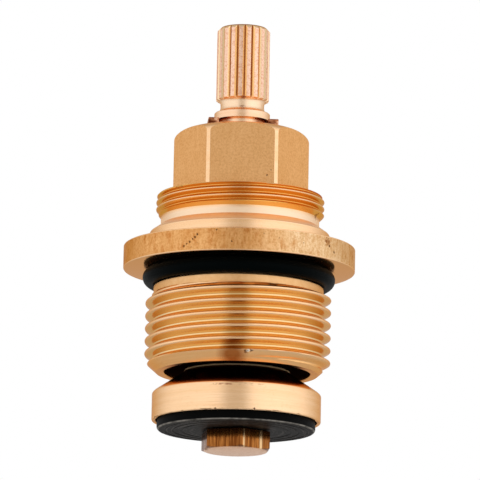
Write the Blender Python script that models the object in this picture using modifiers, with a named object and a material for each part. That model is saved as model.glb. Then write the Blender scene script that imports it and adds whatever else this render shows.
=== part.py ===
"""Tap headwork with a non-rising spindle. A splined spindle, held in the bonnet by a clip, turns a
left-hand thread inside a valve carrier. A hexed guide keeps the carrier from turning, so it slides
along the axis with its rubber washer. Metres, +Z up the spindle. The origin is on the axis, in the
plane of the flange's underside, and a flat of the hexed head faces -Y. The carrier stands partly
open, as far below the mouth as VALVE_DROP says."""

import math

import bmesh
import bpy
from mathutils import Matrix, Vector

# Clearances between neighbouring pieces: of a piece in its seat, and of one that runs in another
SEAT_GAP = 0.0002
RUNNING_GAP = 0.0002

# Outside of the bonnet, upwards from the flange's underside
FLANGE_RADIUS = 0.0165
FLANGE_THICKNESS = 0.0033
SHOULDER_RADIUS = 0.0128
SHOULDER_HEIGHT = 0.00245
CONE_HEIGHT = 0.0009
RELIEF_RADIUS = 0.0115
RELIEF_HEIGHT = 0.00012
UPPER_THREAD_RADIUS = 0.0120
UPPER_THREAD_LENGTH = 0.00397
UPPER_THREAD_CHAMFER = 0.00025
HEX_ACROSS_FLATS = 0.0170
HEX_CORNER_RADIUS = 0.0096
HEX_HEIGHT = 0.00959
CROWN_RADIUS = 0.0064
CROWN_HEIGHT = 0.0016
EDGE_BREAK = 0.00015

# Outside of the bonnet, downwards from the flange's underside
LAND_RADIUS = 0.0121
LAND_HEIGHT = 0.0005
MAIN_THREAD_RADIUS = 0.01322
MAIN_THREAD_LENGTH = 0.01183
MAIN_CHAMFER_RADIUS = 0.0115
MAIN_CHAMFER_HEIGHT = 0.0015

# Inside of the bonnet, downwards from the top of the hex
TOP_WALL = 0.0018
CHAMBER_RADIUS = 0.00535
CHAMBER_LENGTH = 0.0100
GUIDE_ACROSS_FLATS = 0.0154
GUIDE_LENGTH = 0.0105
SEAL_BORE_RADIUS = 0.0092
SEAL_BORE_LENGTH = 0.0090
MOUTH_RADIUS = 0.0104

# O-ring below the flange
FLANGE_RING_INNER_RADIUS = 0.0115
FLANGE_RING_SECTION = 0.0021

# Spindle, downwards from its splined end
SPLINE_TEETH = 20
SPLINE_RADIUS = 0.00378
SPLINE_DEPTH = 0.00045
SPLINE_LENGTH = 0.01069
SPLINE_CHAMFER = 0.0005
SPLINE_TURN = math.radians(2.7)
HANDLE_HOLE_RADIUS = 0.00165
HANDLE_HOLE_DEPTH = 0.0090
HANDLE_HOLE_CHAMFER = 0.0005
NECK_RADIUS = 0.00312
NECK_LENGTH = 0.00028
FLARE_HEIGHT = 0.00095
COLLAR_HEIGHT = 0.00105
CLIP_GROOVE_RADIUS = 0.0033
JOURNAL_RADIUS = 0.00398
RING_LAND = 0.0011
DRIVE_RELIEF_RADIUS = 0.0042
DRIVE_RELIEF_LENGTH = 0.0008
DRIVE_THREAD_RADIUS = 0.0048
DRIVE_THREAD_LENGTH = 0.0192
DRIVE_THREAD_CHAMFER = 0.0005

# Small pieces on the spindle
CLIP_RADIUS = 0.0050
CLIP_LEG = 0.0038
CLIP_THICKNESS = 0.0010
THRUST_WASHER_THICKNESS = 0.0005
SMALL_RING_SECTION = 0.0016

# Valve carrier. Its drop is how far its lower edge stands below the bonnet's mouth
VALVE_DROP = 0.00694
DISC_RADIUS = 0.0120
DISC_HEIGHT = 0.0040
DISC_EDGE = 0.0002
VALVE_CONE_HEIGHT = 0.00292
STEM_RADIUS = 0.0075
STEM_LENGTH = 0.00645
PISTON_LENGTH = 0.0045
GUIDE_HEX_LENGTH = 0.0090
CARRIER_BORE_DEPTH = 0.0175
RECESS_DEPTH = 0.0020
SCREW_HOLE_DEPTH = 0.0044

# Rubber washer and the screw that holds it
WASHER_RADIUS = 0.01125
WASHER_THICKNESS = 0.0031
WASHER_EDGE = 0.0004
SCREW_RADIUS = 0.0025
SCREW_LENGTH = 0.0075
SCREW_HEAD_ACROSS_FLATS = 0.0090
SCREW_HEAD_HEIGHT = 0.00273
SCREW_HEAD_TURN = math.radians(7.9)
SCREW_END_RADIUS = 0.0043
SCREW_END_CHAMFER = 0.00035

# Fineness of the round pieces, and the margin by which a cutter runs past what it cuts
BONNET_STEPS = 72
SPINDLE_STEPS = 3 * SPLINE_TEETH
CARRIER_STEPS = 48
SMALL_STEPS = 30
RING_SIDES = 10
CURVE_STEPS = 4
SHARP_ANGLE = math.radians(30.0)
MERGE_DISTANCE = 1e-6
CUT_MARGIN = 0.0010

# Heights of the bonnet's planes
COLLAR_TOP = FLANGE_THICKNESS + SHOULDER_HEIGHT + CONE_HEIGHT + RELIEF_HEIGHT + UPPER_THREAD_LENGTH
BONNET_TOP = COLLAR_TOP + HEX_HEIGHT
CHAMBER_TOP = BONNET_TOP - TOP_WALL
GUIDE_TOP = CHAMBER_TOP - CHAMBER_LENGTH
SEAL_BORE_TOP = GUIDE_TOP - GUIDE_LENGTH
MOUTH_TOP = SEAL_BORE_TOP - SEAL_BORE_LENGTH
LAND_TOP = -FLANGE_RING_SECTION - 2 * SEAT_GAP
LAND_BOTTOM = LAND_TOP - LAND_HEIGHT
MOUTH_BOTTOM = LAND_BOTTOM - MAIN_THREAD_LENGTH

# Heights on the spindle
CLIP_BOTTOM = BONNET_TOP + SEAT_GAP
CLIP_TOP = CLIP_BOTTOM + CLIP_THICKNESS
CLIP_GROOVE_TOP = CLIP_TOP + SEAT_GAP
CLIP_GROOVE_BOTTOM = BONNET_TOP - SEAT_GAP
NECK_BOTTOM = CLIP_GROOVE_TOP + COLLAR_HEIGHT + FLARE_HEIGHT
NECK_TOP = NECK_BOTTOM + NECK_LENGTH
SPLINE_BOTTOM = NECK_TOP + SPLINE_RADIUS - NECK_RADIUS
SPINDLE_TOP = SPLINE_BOTTOM + SPLINE_LENGTH
THRUST_WASHER_TOP = CHAMBER_TOP - SEAT_GAP
THRUST_WASHER_BOTTOM = THRUST_WASHER_TOP - THRUST_WASHER_THICKNESS
SPINDLE_PISTON_TOP = THRUST_WASHER_BOTTOM - SEAT_GAP
SMALL_GROOVE_HEIGHT = SMALL_RING_SECTION + 2 * SEAT_GAP
UPPER_RING_HEIGHT = SPINDLE_PISTON_TOP - RING_LAND - SMALL_GROOVE_HEIGHT / 2
LOWER_RING_HEIGHT = UPPER_RING_HEIGHT - SMALL_GROOVE_HEIGHT - RING_LAND
SPINDLE_PISTON_BOTTOM = LOWER_RING_HEIGHT - SMALL_GROOVE_HEIGHT / 2 - RING_LAND
DRIVE_THREAD_TOP = SPINDLE_PISTON_BOTTOM - DRIVE_RELIEF_LENGTH
DRIVE_THREAD_BOTTOM = DRIVE_THREAD_TOP - DRIVE_THREAD_LENGTH

# Heights on the valve carrier
CARRIER_BOTTOM = MOUTH_BOTTOM - VALVE_DROP
DISC_TOP = CARRIER_BOTTOM + DISC_HEIGHT
STEM_BOTTOM = DISC_TOP + VALVE_CONE_HEIGHT
PISTON_BOTTOM = STEM_BOTTOM + STEM_LENGTH
PISTON_TOP = PISTON_BOTTOM + PISTON_LENGTH
CARRIER_RING_HEIGHT = (PISTON_BOTTOM + PISTON_TOP) / 2
CARRIER_TOP = PISTON_TOP + GUIDE_HEX_LENGTH
RECESS_TOP = CARRIER_BOTTOM + RECESS_DEPTH
WASHER_TOP = RECESS_TOP - SEAT_GAP
WASHER_BOTTOM = WASHER_TOP - WASHER_THICKNESS
SCREW_HEAD_TOP = WASHER_BOTTOM - SEAT_GAP
SCREW_HEAD_BOTTOM = SCREW_HEAD_TOP - SCREW_HEAD_HEIGHT
SCREW_TIP = SCREW_HEAD_TOP + SCREW_LENGTH

# Radii that follow from a neighbour's
SPINDLE_PISTON_RADIUS = CHAMBER_RADIUS - RUNNING_GAP
CARRIER_PISTON_RADIUS = SEAL_BORE_RADIUS - RUNNING_GAP
JOURNAL_HOLE_RADIUS = JOURNAL_RADIUS + RUNNING_GAP
SCREW_HOLE_RADIUS = SCREW_RADIUS + SEAT_GAP


def clear_scene():
    for old in list(bpy.data.objects):
        bpy.data.objects.remove(old, do_unlink=True)


def new_collection(name):
    collection = bpy.data.collections.new(name)
    bpy.context.scene.collection.children.link(collection)
    return collection


def new_material(name, colour, metallic, roughness):
    material = bpy.data.materials.new(name)
    material.use_nodes = True
    shader = material.node_tree.nodes["Principled BSDF"]
    shader.inputs["Base Color"].default_value = (*colour, 1.0)
    shader.inputs["Metallic"].default_value = metallic
    shader.inputs["Roughness"].default_value = roughness
    return material


def new_object(name, form, collection):
    """An object from a bmesh, which is freed."""
    mesh = bpy.data.meshes.new(name)
    form.to_mesh(mesh)
    form.free()
    piece = bpy.data.objects.new(name, mesh)
    collection.objects.link(piece)
    return piece


def arc(centre, radii, start_degrees, end_degrees):
    """Points of an upright elliptical arc as (radius, height)."""
    points = []
    for i in range(CURVE_STEPS + 1):
        angle = math.radians(start_degrees + (end_degrees - start_degrees) * i / CURVE_STEPS)
        points.append((centre[0] + radii[0] * math.cos(angle), centre[1] + radii[1] * math.sin(angle)))
    return points


def ring_groove(bore_radius, height):
    """The corners of a small O-ring's groove, top to bottom, in a piston that runs in a bore."""
    outer = bore_radius - RUNNING_GAP
    floor = bore_radius - SEAT_GAP - SMALL_RING_SECTION - SEAT_GAP
    top = height + SMALL_GROOVE_HEIGHT / 2
    bottom = height - SMALL_GROOVE_HEIGHT / 2
    return [(outer, top), (floor, top), (floor, bottom), (outer, bottom)]


def turned(name, outline, steps, collection):
    """A turned piece. Its outline is (radius, height) points that run down the outer side, closed
    unless both ends lie on the axis."""
    form = bmesh.new()
    corners = [form.verts.new((radius, 0.0, height)) for radius, height in outline]
    for start, end in zip(corners, corners[1:]):
        form.edges.new((start, end))
    if outline[0][0] > 0.0:
        form.edges.new((corners[-1], corners[0]))
    piece = new_object(name, form, collection)
    screw = piece.modifiers.new("Turn", "SCREW")
    screw.axis = "Z"
    screw.steps = steps
    screw.render_steps = steps
    screw.use_merge_vertices = True
    screw.merge_threshold = MERGE_DISTANCE
    return piece


def prism(form, sides, radius, bottom, top, place):
    """Adds an upright prism to a bmesh. Before it is placed, a corner points along +Y."""
    middle = Matrix.Translation((0.0, 0.0, (bottom + top) / 2))
    bmesh.ops.create_cone(
        form, cap_ends=True, segments=sides, radius1=radius, radius2=radius,
        depth=top - bottom, matrix=place @ middle,
    )


def hex_form(name, across_flats, bottom, top, turn, collection):
    """An upright hex prism, with a flat towards -Y before its turn."""
    form = bmesh.new()
    corner_radius = across_flats / 2 / math.cos(math.pi / 6)
    prism(form, 6, corner_radius, bottom, top, Matrix.Rotation(math.pi / 6 + turn, 4, "Z"))
    return new_object(name, form, collection)


def cut(piece, cutter, operation="DIFFERENCE"):
    cutter.hide_render = True
    cutter.display_type = "WIRE"
    boolean = piece.modifiers.new(cutter.name, "BOOLEAN")
    boolean.operation = operation
    boolean.object = cutter
    boolean.solver = "EXACT"


def cut_hex(piece, across_flats, outer_radius, bottom, top, steps, cutters):
    """Cuts flats on a round head down to the plane at its bottom, which it faces off."""
    form = bmesh.new()
    prism(form, steps, outer_radius + CUT_MARGIN, bottom, top + CUT_MARGIN, Matrix())
    flats = new_object(piece.name + "_flats_cutter", form, cutters)
    head = hex_form(
        piece.name + "_hex_form", across_flats, bottom - CUT_MARGIN, top + 2 * CUT_MARGIN, 0.0, cutters,
    )
    cut(flats, head)
    cut(piece, flats)


def ring(name, middle_radius, section, height, steps, collection):
    """An O-ring, by the radius and the height of the middle of its section."""
    bpy.ops.mesh.primitive_torus_add(
        major_segments=steps, minor_segments=RING_SIDES, major_radius=middle_radius,
        minor_radius=section / 2, location=(0.0, 0.0, height),
    )
    piece = bpy.context.object
    piece.name = name
    for home in list(piece.users_collection):
        home.objects.unlink(piece)
    collection.objects.link(piece)
    return piece


def finish(piece, material):
    """Makes the modifiers' result the piece's own mesh, shades its round faces and colours it."""
    graph = bpy.context.evaluated_depsgraph_get()
    mesh = bpy.data.meshes.new_from_object(piece.evaluated_get(graph))
    mesh.name = piece.name
    mesh.shade_smooth()
    mesh.set_sharp_from_angle(angle=SHARP_ANGLE)
    mesh.materials.clear()
    mesh.materials.append(material)
    piece.modifiers.clear()
    piece.data = mesh


def build_bonnet(parts, cutters):
    """Body, turned in one piece, with a hexed head and a hexed guide socket. Its threads are plain,
    at their outer diameters."""
    shoulder_top = FLANGE_THICKNESS + SHOULDER_HEIGHT
    relief_bottom = shoulder_top + CONE_HEIGHT
    relief_top = relief_bottom + RELIEF_HEIGHT
    unfaced_top = COLLAR_TOP + UPPER_THREAD_CHAMFER
    thread_start = LAND_BOTTOM - (MAIN_THREAD_RADIUS - LAND_RADIUS)
    crown_centre = (CROWN_RADIUS, BONNET_TOP - CROWN_HEIGHT)
    outside = arc(crown_centre, (HEX_CORNER_RADIUS - CROWN_RADIUS, CROWN_HEIGHT), 90.0, 0.0)
    outside += [
        (HEX_CORNER_RADIUS, unfaced_top),
        (UPPER_THREAD_RADIUS - 2 * UPPER_THREAD_CHAMFER, unfaced_top),
        (UPPER_THREAD_RADIUS, COLLAR_TOP - UPPER_THREAD_CHAMFER),
        (UPPER_THREAD_RADIUS, relief_top),
        (RELIEF_RADIUS, relief_top),
        (RELIEF_RADIUS, relief_bottom),
        (SHOULDER_RADIUS, shoulder_top),
        (SHOULDER_RADIUS, FLANGE_THICKNESS),
        (FLANGE_RADIUS - EDGE_BREAK, FLANGE_THICKNESS),
        (FLANGE_RADIUS, FLANGE_THICKNESS - EDGE_BREAK),
        (FLANGE_RADIUS, EDGE_BREAK),
        (FLANGE_RADIUS - EDGE_BREAK, 0.0),
        (FLANGE_RING_INNER_RADIUS - SEAT_GAP, 0.0),
        (FLANGE_RING_INNER_RADIUS - SEAT_GAP, LAND_TOP),
        (LAND_RADIUS, LAND_TOP),
        (LAND_RADIUS, LAND_BOTTOM),
        (MAIN_THREAD_RADIUS, thread_start),
        (MAIN_THREAD_RADIUS, MOUTH_BOTTOM + MAIN_CHAMFER_HEIGHT),
        (MAIN_CHAMFER_RADIUS, MOUTH_BOTTOM),
    ]
    inside = [
        (MOUTH_RADIUS, MOUTH_BOTTOM),
        (MOUTH_RADIUS, MOUTH_TOP),
        (SEAL_BORE_RADIUS, MOUTH_TOP),
        (SEAL_BORE_RADIUS, SEAL_BORE_TOP),
        (CHAMBER_RADIUS, SEAL_BORE_TOP),
        (CHAMBER_RADIUS, CHAMBER_TOP),
        (JOURNAL_HOLE_RADIUS, CHAMBER_TOP),
        (JOURNAL_HOLE_RADIUS, BONNET_TOP),
    ]
    bonnet = turned("bonnet", outside + inside, BONNET_STEPS, parts)
    cut_hex(bonnet, HEX_ACROSS_FLATS, UPPER_THREAD_RADIUS, COLLAR_TOP, BONNET_TOP, BONNET_STEPS, cutters)
    socket = hex_form(
        "guide_socket_cutter", GUIDE_ACROSS_FLATS, SEAL_BORE_TOP - CUT_MARGIN, GUIDE_TOP, 0.0, cutters,
    )
    cut(bonnet, socket)
    return bonnet


def build_spline_cutter(bottom, top, cutters):
    """The spline's V grooves, 60 degrees wide, as separate triangular prisms round the axis."""
    corner_radius = (SPLINE_DEPTH + CUT_MARGIN / 2) * 2 / 3
    middle_radius = SPLINE_RADIUS - SPLINE_DEPTH + corner_radius
    form = bmesh.new()
    for groove in range(SPLINE_TEETH):
        around = Matrix.Rotation(groove * math.tau / SPLINE_TEETH, 4, "Z")
        outwards = Matrix.Translation((0.0, middle_radius, 0.0))
        point_inwards = Matrix.Rotation(math.pi, 4, "Z")
        prism(form, 3, corner_radius, bottom, top, around @ outwards @ point_inwards)
    return new_object("spline_cutter", form, cutters)


def build_spindle(parts, cutters):
    """Spindle: a splined end, tapped for the handle's screw, a neck and a collar, the clip's groove,
    a journal, a piston with two O-ring grooves and the drive thread, plain at its outer diameter."""
    outline = [
        (0.0, SPINDLE_TOP - HANDLE_HOLE_DEPTH),
        (HANDLE_HOLE_RADIUS, SPINDLE_TOP - HANDLE_HOLE_DEPTH),
        (HANDLE_HOLE_RADIUS, SPINDLE_TOP - HANDLE_HOLE_CHAMFER),
        (HANDLE_HOLE_RADIUS + HANDLE_HOLE_CHAMFER, SPINDLE_TOP),
        (SPLINE_RADIUS - SPLINE_CHAMFER, SPINDLE_TOP),
        (SPLINE_RADIUS, SPINDLE_TOP - SPLINE_CHAMFER),
        (SPLINE_RADIUS, SPLINE_BOTTOM),
        (NECK_RADIUS, NECK_TOP),
    ]
    outline += arc((JOURNAL_RADIUS, NECK_BOTTOM), (JOURNAL_RADIUS - NECK_RADIUS, FLARE_HEIGHT), 180.0, 270.0)
    outline += [
        (JOURNAL_RADIUS, CLIP_GROOVE_TOP),
        (CLIP_GROOVE_RADIUS, CLIP_GROOVE_TOP),
        (CLIP_GROOVE_RADIUS, CLIP_GROOVE_BOTTOM),
        (JOURNAL_RADIUS, CLIP_GROOVE_BOTTOM),
        (JOURNAL_RADIUS, SPINDLE_PISTON_TOP),
        (SPINDLE_PISTON_RADIUS, SPINDLE_PISTON_TOP),
    ]
    outline += ring_groove(CHAMBER_RADIUS, UPPER_RING_HEIGHT)
    outline += ring_groove(CHAMBER_RADIUS, LOWER_RING_HEIGHT)
    outline += [
        (SPINDLE_PISTON_RADIUS, SPINDLE_PISTON_BOTTOM),
        (DRIVE_RELIEF_RADIUS, SPINDLE_PISTON_BOTTOM),
        (DRIVE_RELIEF_RADIUS, DRIVE_THREAD_TOP),
        (DRIVE_THREAD_RADIUS, DRIVE_THREAD_TOP),
        (DRIVE_THREAD_RADIUS, DRIVE_THREAD_BOTTOM + DRIVE_THREAD_CHAMFER),
        (DRIVE_THREAD_RADIUS - DRIVE_THREAD_CHAMFER, DRIVE_THREAD_BOTTOM),
        (0.0, DRIVE_THREAD_BOTTOM),
    ]
    spindle = turned("spindle", outline, SPINDLE_STEPS, parts)
    middle_of_neck = (NECK_BOTTOM + NECK_TOP) / 2
    cut(spindle, build_spline_cutter(middle_of_neck, SPINDLE_TOP + CUT_MARGIN, cutters))
    spindle.rotation_euler = (0.0, 0.0, SPLINE_TURN)
    return spindle


def build_clip(parts):
    """Retaining clip: a flat horseshoe in the spindle's groove, open towards -Y. Its section is
    spun half round the axis, and both ends are pulled out into straight legs."""
    inner = CLIP_GROOVE_RADIUS + SEAT_GAP
    section = [(inner, CLIP_BOTTOM), (CLIP_RADIUS, CLIP_BOTTOM), (CLIP_RADIUS, CLIP_TOP), (inner, CLIP_TOP)]
    form = bmesh.new()
    corners = [form.verts.new((radius, 0.0, height)) for radius, height in section]
    first_end = form.faces.new(corners)
    spun = bmesh.ops.spin(
        form, geom=[first_end], cent=(0.0, 0.0, 0.0), axis=(0.0, 0.0, 1.0),
        angle=math.pi, steps=SMALL_STEPS, use_duplicate=False,
    )
    last_end = [item for item in spun["geom_last"] if isinstance(item, bmesh.types.BMFace)]
    for end in (first_end, last_end[0]):
        leg = bmesh.ops.extrude_face_region(form, geom=[end])
        moved = [item for item in leg["geom"] if isinstance(item, bmesh.types.BMVert)]
        bmesh.ops.translate(form, verts=moved, vec=(0.0, -CLIP_LEG, 0.0))
        bmesh.ops.delete(form, geom=[end], context="FACES_ONLY")
    bmesh.ops.recalc_face_normals(form, faces=form.faces)
    return new_object("retaining_clip", form, parts)


def build_thrust_washer(parts):
    outline = [
        (SPINDLE_PISTON_RADIUS, THRUST_WASHER_TOP),
        (SPINDLE_PISTON_RADIUS, THRUST_WASHER_BOTTOM),
        (JOURNAL_HOLE_RADIUS, THRUST_WASHER_BOTTOM),
        (JOURNAL_HOLE_RADIUS, THRUST_WASHER_TOP),
    ]
    return turned("thrust_washer", outline, SMALL_STEPS, parts)


def build_small_ring(name, bore_radius, height, parts):
    """A small O-ring that seals a piston in a bore."""
    middle_radius = bore_radius - SEAT_GAP - SMALL_RING_SECTION / 2
    return ring(name, middle_radius, SMALL_RING_SECTION, height, SMALL_STEPS, parts)


def build_flange_ring(parts):
    middle_radius = FLANGE_RING_INNER_RADIUS + FLANGE_RING_SECTION / 2
    height = -SEAT_GAP - FLANGE_RING_SECTION / 2
    return ring("flange_oring", middle_radius, FLANGE_RING_SECTION, height, BONNET_STEPS, parts)


def build_carrier(parts, cutters):
    """Valve carrier: a hexed guide over a piston with an O-ring groove, then a stem, a cone and a
    disc with a cup below for the rubber washer. A blind bore from above takes the drive thread."""
    bore_radius = DRIVE_THREAD_RADIUS + RUNNING_GAP
    recess_radius = WASHER_RADIUS + SEAT_GAP
    outline = [
        (0.0, CARRIER_TOP - CARRIER_BORE_DEPTH),
        (bore_radius, CARRIER_TOP - CARRIER_BORE_DEPTH),
        (bore_radius, CARRIER_TOP),
        (CARRIER_PISTON_RADIUS, CARRIER_TOP),
    ]
    outline += ring_groove(SEAL_BORE_RADIUS, CARRIER_RING_HEIGHT)
    outline += [
        (CARRIER_PISTON_RADIUS, PISTON_BOTTOM),
        (STEM_RADIUS, PISTON_BOTTOM),
        (STEM_RADIUS, STEM_BOTTOM),
        (DISC_RADIUS - DISC_EDGE, DISC_TOP),
        (DISC_RADIUS, DISC_TOP - DISC_EDGE),
        (DISC_RADIUS, CARRIER_BOTTOM + DISC_EDGE),
        (DISC_RADIUS - DISC_EDGE, CARRIER_BOTTOM),
        (recess_radius, CARRIER_BOTTOM),
        (recess_radius, RECESS_TOP),
        (SCREW_HOLE_RADIUS, RECESS_TOP),
        (SCREW_HOLE_RADIUS, RECESS_TOP + SCREW_HOLE_DEPTH),
        (0.0, RECESS_TOP + SCREW_HOLE_DEPTH),
    ]
    carrier = turned("valve_carrier", outline, CARRIER_STEPS, parts)
    guide = GUIDE_ACROSS_FLATS - 2 * RUNNING_GAP
    cut_hex(carrier, guide, CARRIER_PISTON_RADIUS, PISTON_TOP, CARRIER_TOP, CARRIER_STEPS, cutters)
    return carrier


def build_washer(parts):
    """Rubber tap washer, bored for its screw, with a rounded lower edge."""
    edge_centre = (WASHER_RADIUS - WASHER_EDGE, WASHER_BOTTOM + WASHER_EDGE)
    outline = [(SCREW_HOLE_RADIUS, WASHER_TOP), (WASHER_RADIUS, WASHER_TOP)]
    outline += arc(edge_centre, (WASHER_EDGE, WASHER_EDGE), 0.0, -90.0)
    outline += [(SCREW_HOLE_RADIUS, WASHER_BOTTOM)]
    return turned("tap_washer", outline, CARRIER_STEPS, parts)


def build_screw(parts, cutters):
    """Washer screw: a shank, plain at its thread's outer diameter, over a hex head with a chamfered
    end. One corner of the head stands a little to the right of -Y."""
    blank_radius = SCREW_HEAD_ACROSS_FLATS
    corner_radius = SCREW_HEAD_ACROSS_FLATS / 2 / math.cos(math.pi / 6)
    chamfer_slope = SCREW_END_CHAMFER / (corner_radius - SCREW_END_RADIUS)
    outline = [
        (0.0, SCREW_TIP),
        (SCREW_RADIUS, SCREW_TIP),
        (SCREW_RADIUS, SCREW_HEAD_TOP),
        (blank_radius, SCREW_HEAD_TOP),
        (blank_radius, SCREW_HEAD_BOTTOM + chamfer_slope * (blank_radius - SCREW_END_RADIUS)),
        (SCREW_END_RADIUS, SCREW_HEAD_BOTTOM),
        (0.0, SCREW_HEAD_BOTTOM),
    ]
    screw = turned("washer_screw", outline, SMALL_STEPS, parts)
    head = hex_form(
        "screw_head_form", SCREW_HEAD_ACROSS_FLATS, SCREW_HEAD_BOTTOM - CUT_MARGIN,
        SCREW_TIP + CUT_MARGIN, math.pi / 6 + SCREW_HEAD_TURN, cutters,
    )
    cut(screw, head, "INTERSECT")
    return screw


def group_on_axis(name, pieces, parts):
    """Parents the pieces of one moving body to an empty on their joint's axis."""
    empty = bpy.data.objects.new(name, None)
    empty.empty_display_size = FLANGE_RADIUS
    parts.objects.link(empty)
    for piece in pieces:
        piece.parent = empty


def main():
    clear_scene()
    parts = new_collection("tap_headwork")
    cutters = new_collection("cutters")
    turned_brass = new_material("turned_brass", (0.80, 0.47, 0.23), 1.0, 0.28)
    bronze = new_material("clip_bronze", (0.70, 0.36, 0.22), 1.0, 0.32)
    rubber = new_material("black_rubber", (0.020, 0.022, 0.023), 0.0, 0.45)
    acetal = new_material("white_acetal", (0.80, 0.79, 0.75), 0.0, 0.40)

    bonnet = build_bonnet(parts, cutters)
    thrust_washer = build_thrust_washer(parts)
    flange_ring = build_flange_ring(parts)

    spindle = build_spindle(parts, cutters)
    clip = build_clip(parts)
    upper_ring = build_small_ring("spindle_oring_upper", CHAMBER_RADIUS, UPPER_RING_HEIGHT, parts)
    lower_ring = build_small_ring("spindle_oring_lower", CHAMBER_RADIUS, LOWER_RING_HEIGHT, parts)
    group_on_axis("spindle_axis", [spindle, clip, upper_ring, lower_ring], parts)

    carrier = build_carrier(parts, cutters)
    carrier_ring = build_small_ring("carrier_oring", SEAL_BORE_RADIUS, CARRIER_RING_HEIGHT, parts)
    washer = build_washer(parts)
    screw = build_screw(parts, cutters)
    group_on_axis("valve_axis", [carrier, carrier_ring, washer, screw], parts)

    for piece in (bonnet, spindle, carrier, screw):
        finish(piece, turned_brass)
    for piece in (flange_ring, upper_ring, lower_ring, carrier_ring, washer):
        finish(piece, rubber)
    finish(clip, bronze)
    finish(thrust_washer, acetal)


main()
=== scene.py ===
"""Tap headwork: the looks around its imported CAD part.

A flanged brass bonnet with two outer threads and a hexed head, a splined spindle with its clip,
and a valve carrier whose rubber washer is held by a hexagon screw. Lengths are in millimetres and
become metres where a shape is drawn. +Z runs up the spindle, and the flange's underside is at 0.
"""

import math

import bpy
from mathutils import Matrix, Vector


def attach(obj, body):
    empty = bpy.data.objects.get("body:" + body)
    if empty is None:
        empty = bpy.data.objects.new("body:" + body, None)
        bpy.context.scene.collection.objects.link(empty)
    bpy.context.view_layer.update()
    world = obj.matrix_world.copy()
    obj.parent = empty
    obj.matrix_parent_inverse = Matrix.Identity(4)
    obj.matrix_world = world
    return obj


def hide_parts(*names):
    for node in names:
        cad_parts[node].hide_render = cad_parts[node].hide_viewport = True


MM = 0.001
MERGE_DISTANCE = 0.0012 * MM
SMOOTH_ANGLE = math.radians(24.0)

# Fineness
BONNET_STEPS = 240
CARRIER_STEPS = 192
SPINDLE_STEPS = 160
SCREW_STEPS = 144
RING_STEPS = 180
RING_SIDES = 40

# Outside of the bonnet
FLANGE_RADIUS = 16.5
FLANGE_TOP = 3.3
EDGE_BREAK = 0.15
FINE_BREAK = 0.08
FILLET = 0.12
SHOULDER_RADIUS = 12.8
SHOULDER_TOP = 5.25
CONE_TOP = 6.22
CONE_EDGE = 0.05
RELIEF_RADIUS = 11.3
RELIEF_TOP = 7.5
UPPER_THREAD_RADIUS = 12.0
UPPER_THREAD_CHAMFER = 0.3
COLLAR_TOP = 10.74
HEX_ACROSS_FLATS = 17.0
HEX_CORNER_RADIUS = 9.65
CROWN_RADIUS = 6.4
CROWN_HEIGHT = 1.6
BONNET_TOP = 20.33
RING_GROOVE_RADIUS = 11.3
LAND_TOP = -2.5
LAND_RADIUS = 12.1
LAND_BOTTOM = -3.6
MAIN_THREAD_RADIUS = 13.22
MAIN_CHAMFER_RADIUS = 11.5
MAIN_CHAMFER_HEIGHT = 1.5
MOUTH_BOTTOM = -14.83
LIP_BREAK = 0.1

# Inside of the bonnet
TOP_HOLE_RADIUS = 4.18
CHAMBER_TOP = 18.53
CHAMBER_RADIUS = 5.35
GUIDE_ACROSS_FLATS = 15.4
GUIDE_TOP = 8.53
SEAL_BORE_TOP = -1.97
SEAL_BORE_RADIUS = 9.2
MOUTH_TOP = -10.97
MOUTH_RADIUS = 10.4

# Threads: G 3/4 with its 55 degree form, and M24 x 1 with its 60 degree form
MAIN_PITCH = 1.814
MAIN_HALF_ANGLE = 27.5
MAIN_ROUNDING = 0.249
MAIN_DEPTH = 1.162
MAIN_CREST_HEIGHT = -8.6  # at -X, as on the left outline
UPPER_PITCH = 1.0
UPPER_HALF_ANGLE = 30.0
UPPER_ROUNDING = 0.1
UPPER_DEPTH = 0.56
UPPER_CREST_HEIGHT = 8.63  # at -X too

# Spindle
SPLINE_TEETH = 20
SPLINE_RADIUS = 3.78
SPLINE_DEPTH = 0.45
SPLINE_CHAMFER = 0.5
SPLINE_CUTTER_MARGIN = 0.3
SPLINE_CUTTER_STRETCH = 1.3
SPLINE_TURN = 2.7
SPINDLE_TOP = 35.36
SPLINE_BOTTOM = 24.78
SPLINE_END_BREAK = 0.3
WAIST_HEIGHT = 0.66
NECK_RADIUS = 3.12
NECK_TOP = 23.98
NECK_BOTTOM = 23.73
COLLAR_RADIUS = 3.98
COLLAR_LIP = 0.12
COLLAR_LIP_HEIGHT = 0.1
SPINDLE_COLLAR_TOP = 22.78
CLIP_GROOVE_TOP = 21.7
CLIP_GROOVE_BOTTOM = 20.13
CLIP_GROOVE_RADIUS = 3.3
PISTON_RADIUS = 5.15
PISTON_TOP = 17.63
UPPER_RING_HEIGHT = 15.53
LOWER_RING_HEIGHT = 12.43
RING_GROOVE_HALF_HEIGHT = 1.0
RING_GROOVE_FLOOR = 3.35
PISTON_BOTTOM = 10.33
DRIVE_RELIEF_RADIUS = 4.2
DRIVE_THREAD_TOP = 9.53
DRIVE_THREAD_RADIUS = 4.8
DRIVE_THREAD_BOTTOM = -9.67
DRIVE_THREAD_CHAMFER = 0.5
HANDLE_HOLE_RADIUS = 1.65
HANDLE_HOLE_DEPTH = 9.0
HANDLE_HOLE_TIP = 0.9
HANDLE_HOLE_CHAMFER = 0.5

# Clip and O-ring
CLIP_BOTTOM = 20.53
CLIP_TOP = 21.53
CLIP_INNER_RADIUS = 3.5
CLIP_OUTER_RADIUS = 5.0
CLIP_LEG = 3.8
CLIP_TURN = 2.5
FLANGE_RING_RADIUS = 12.5
FLANGE_RING_SECTION = 2.42
FLANGE_RING_HEIGHT = -1.19
FLANGE_RING_GAP = 0.01

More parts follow.
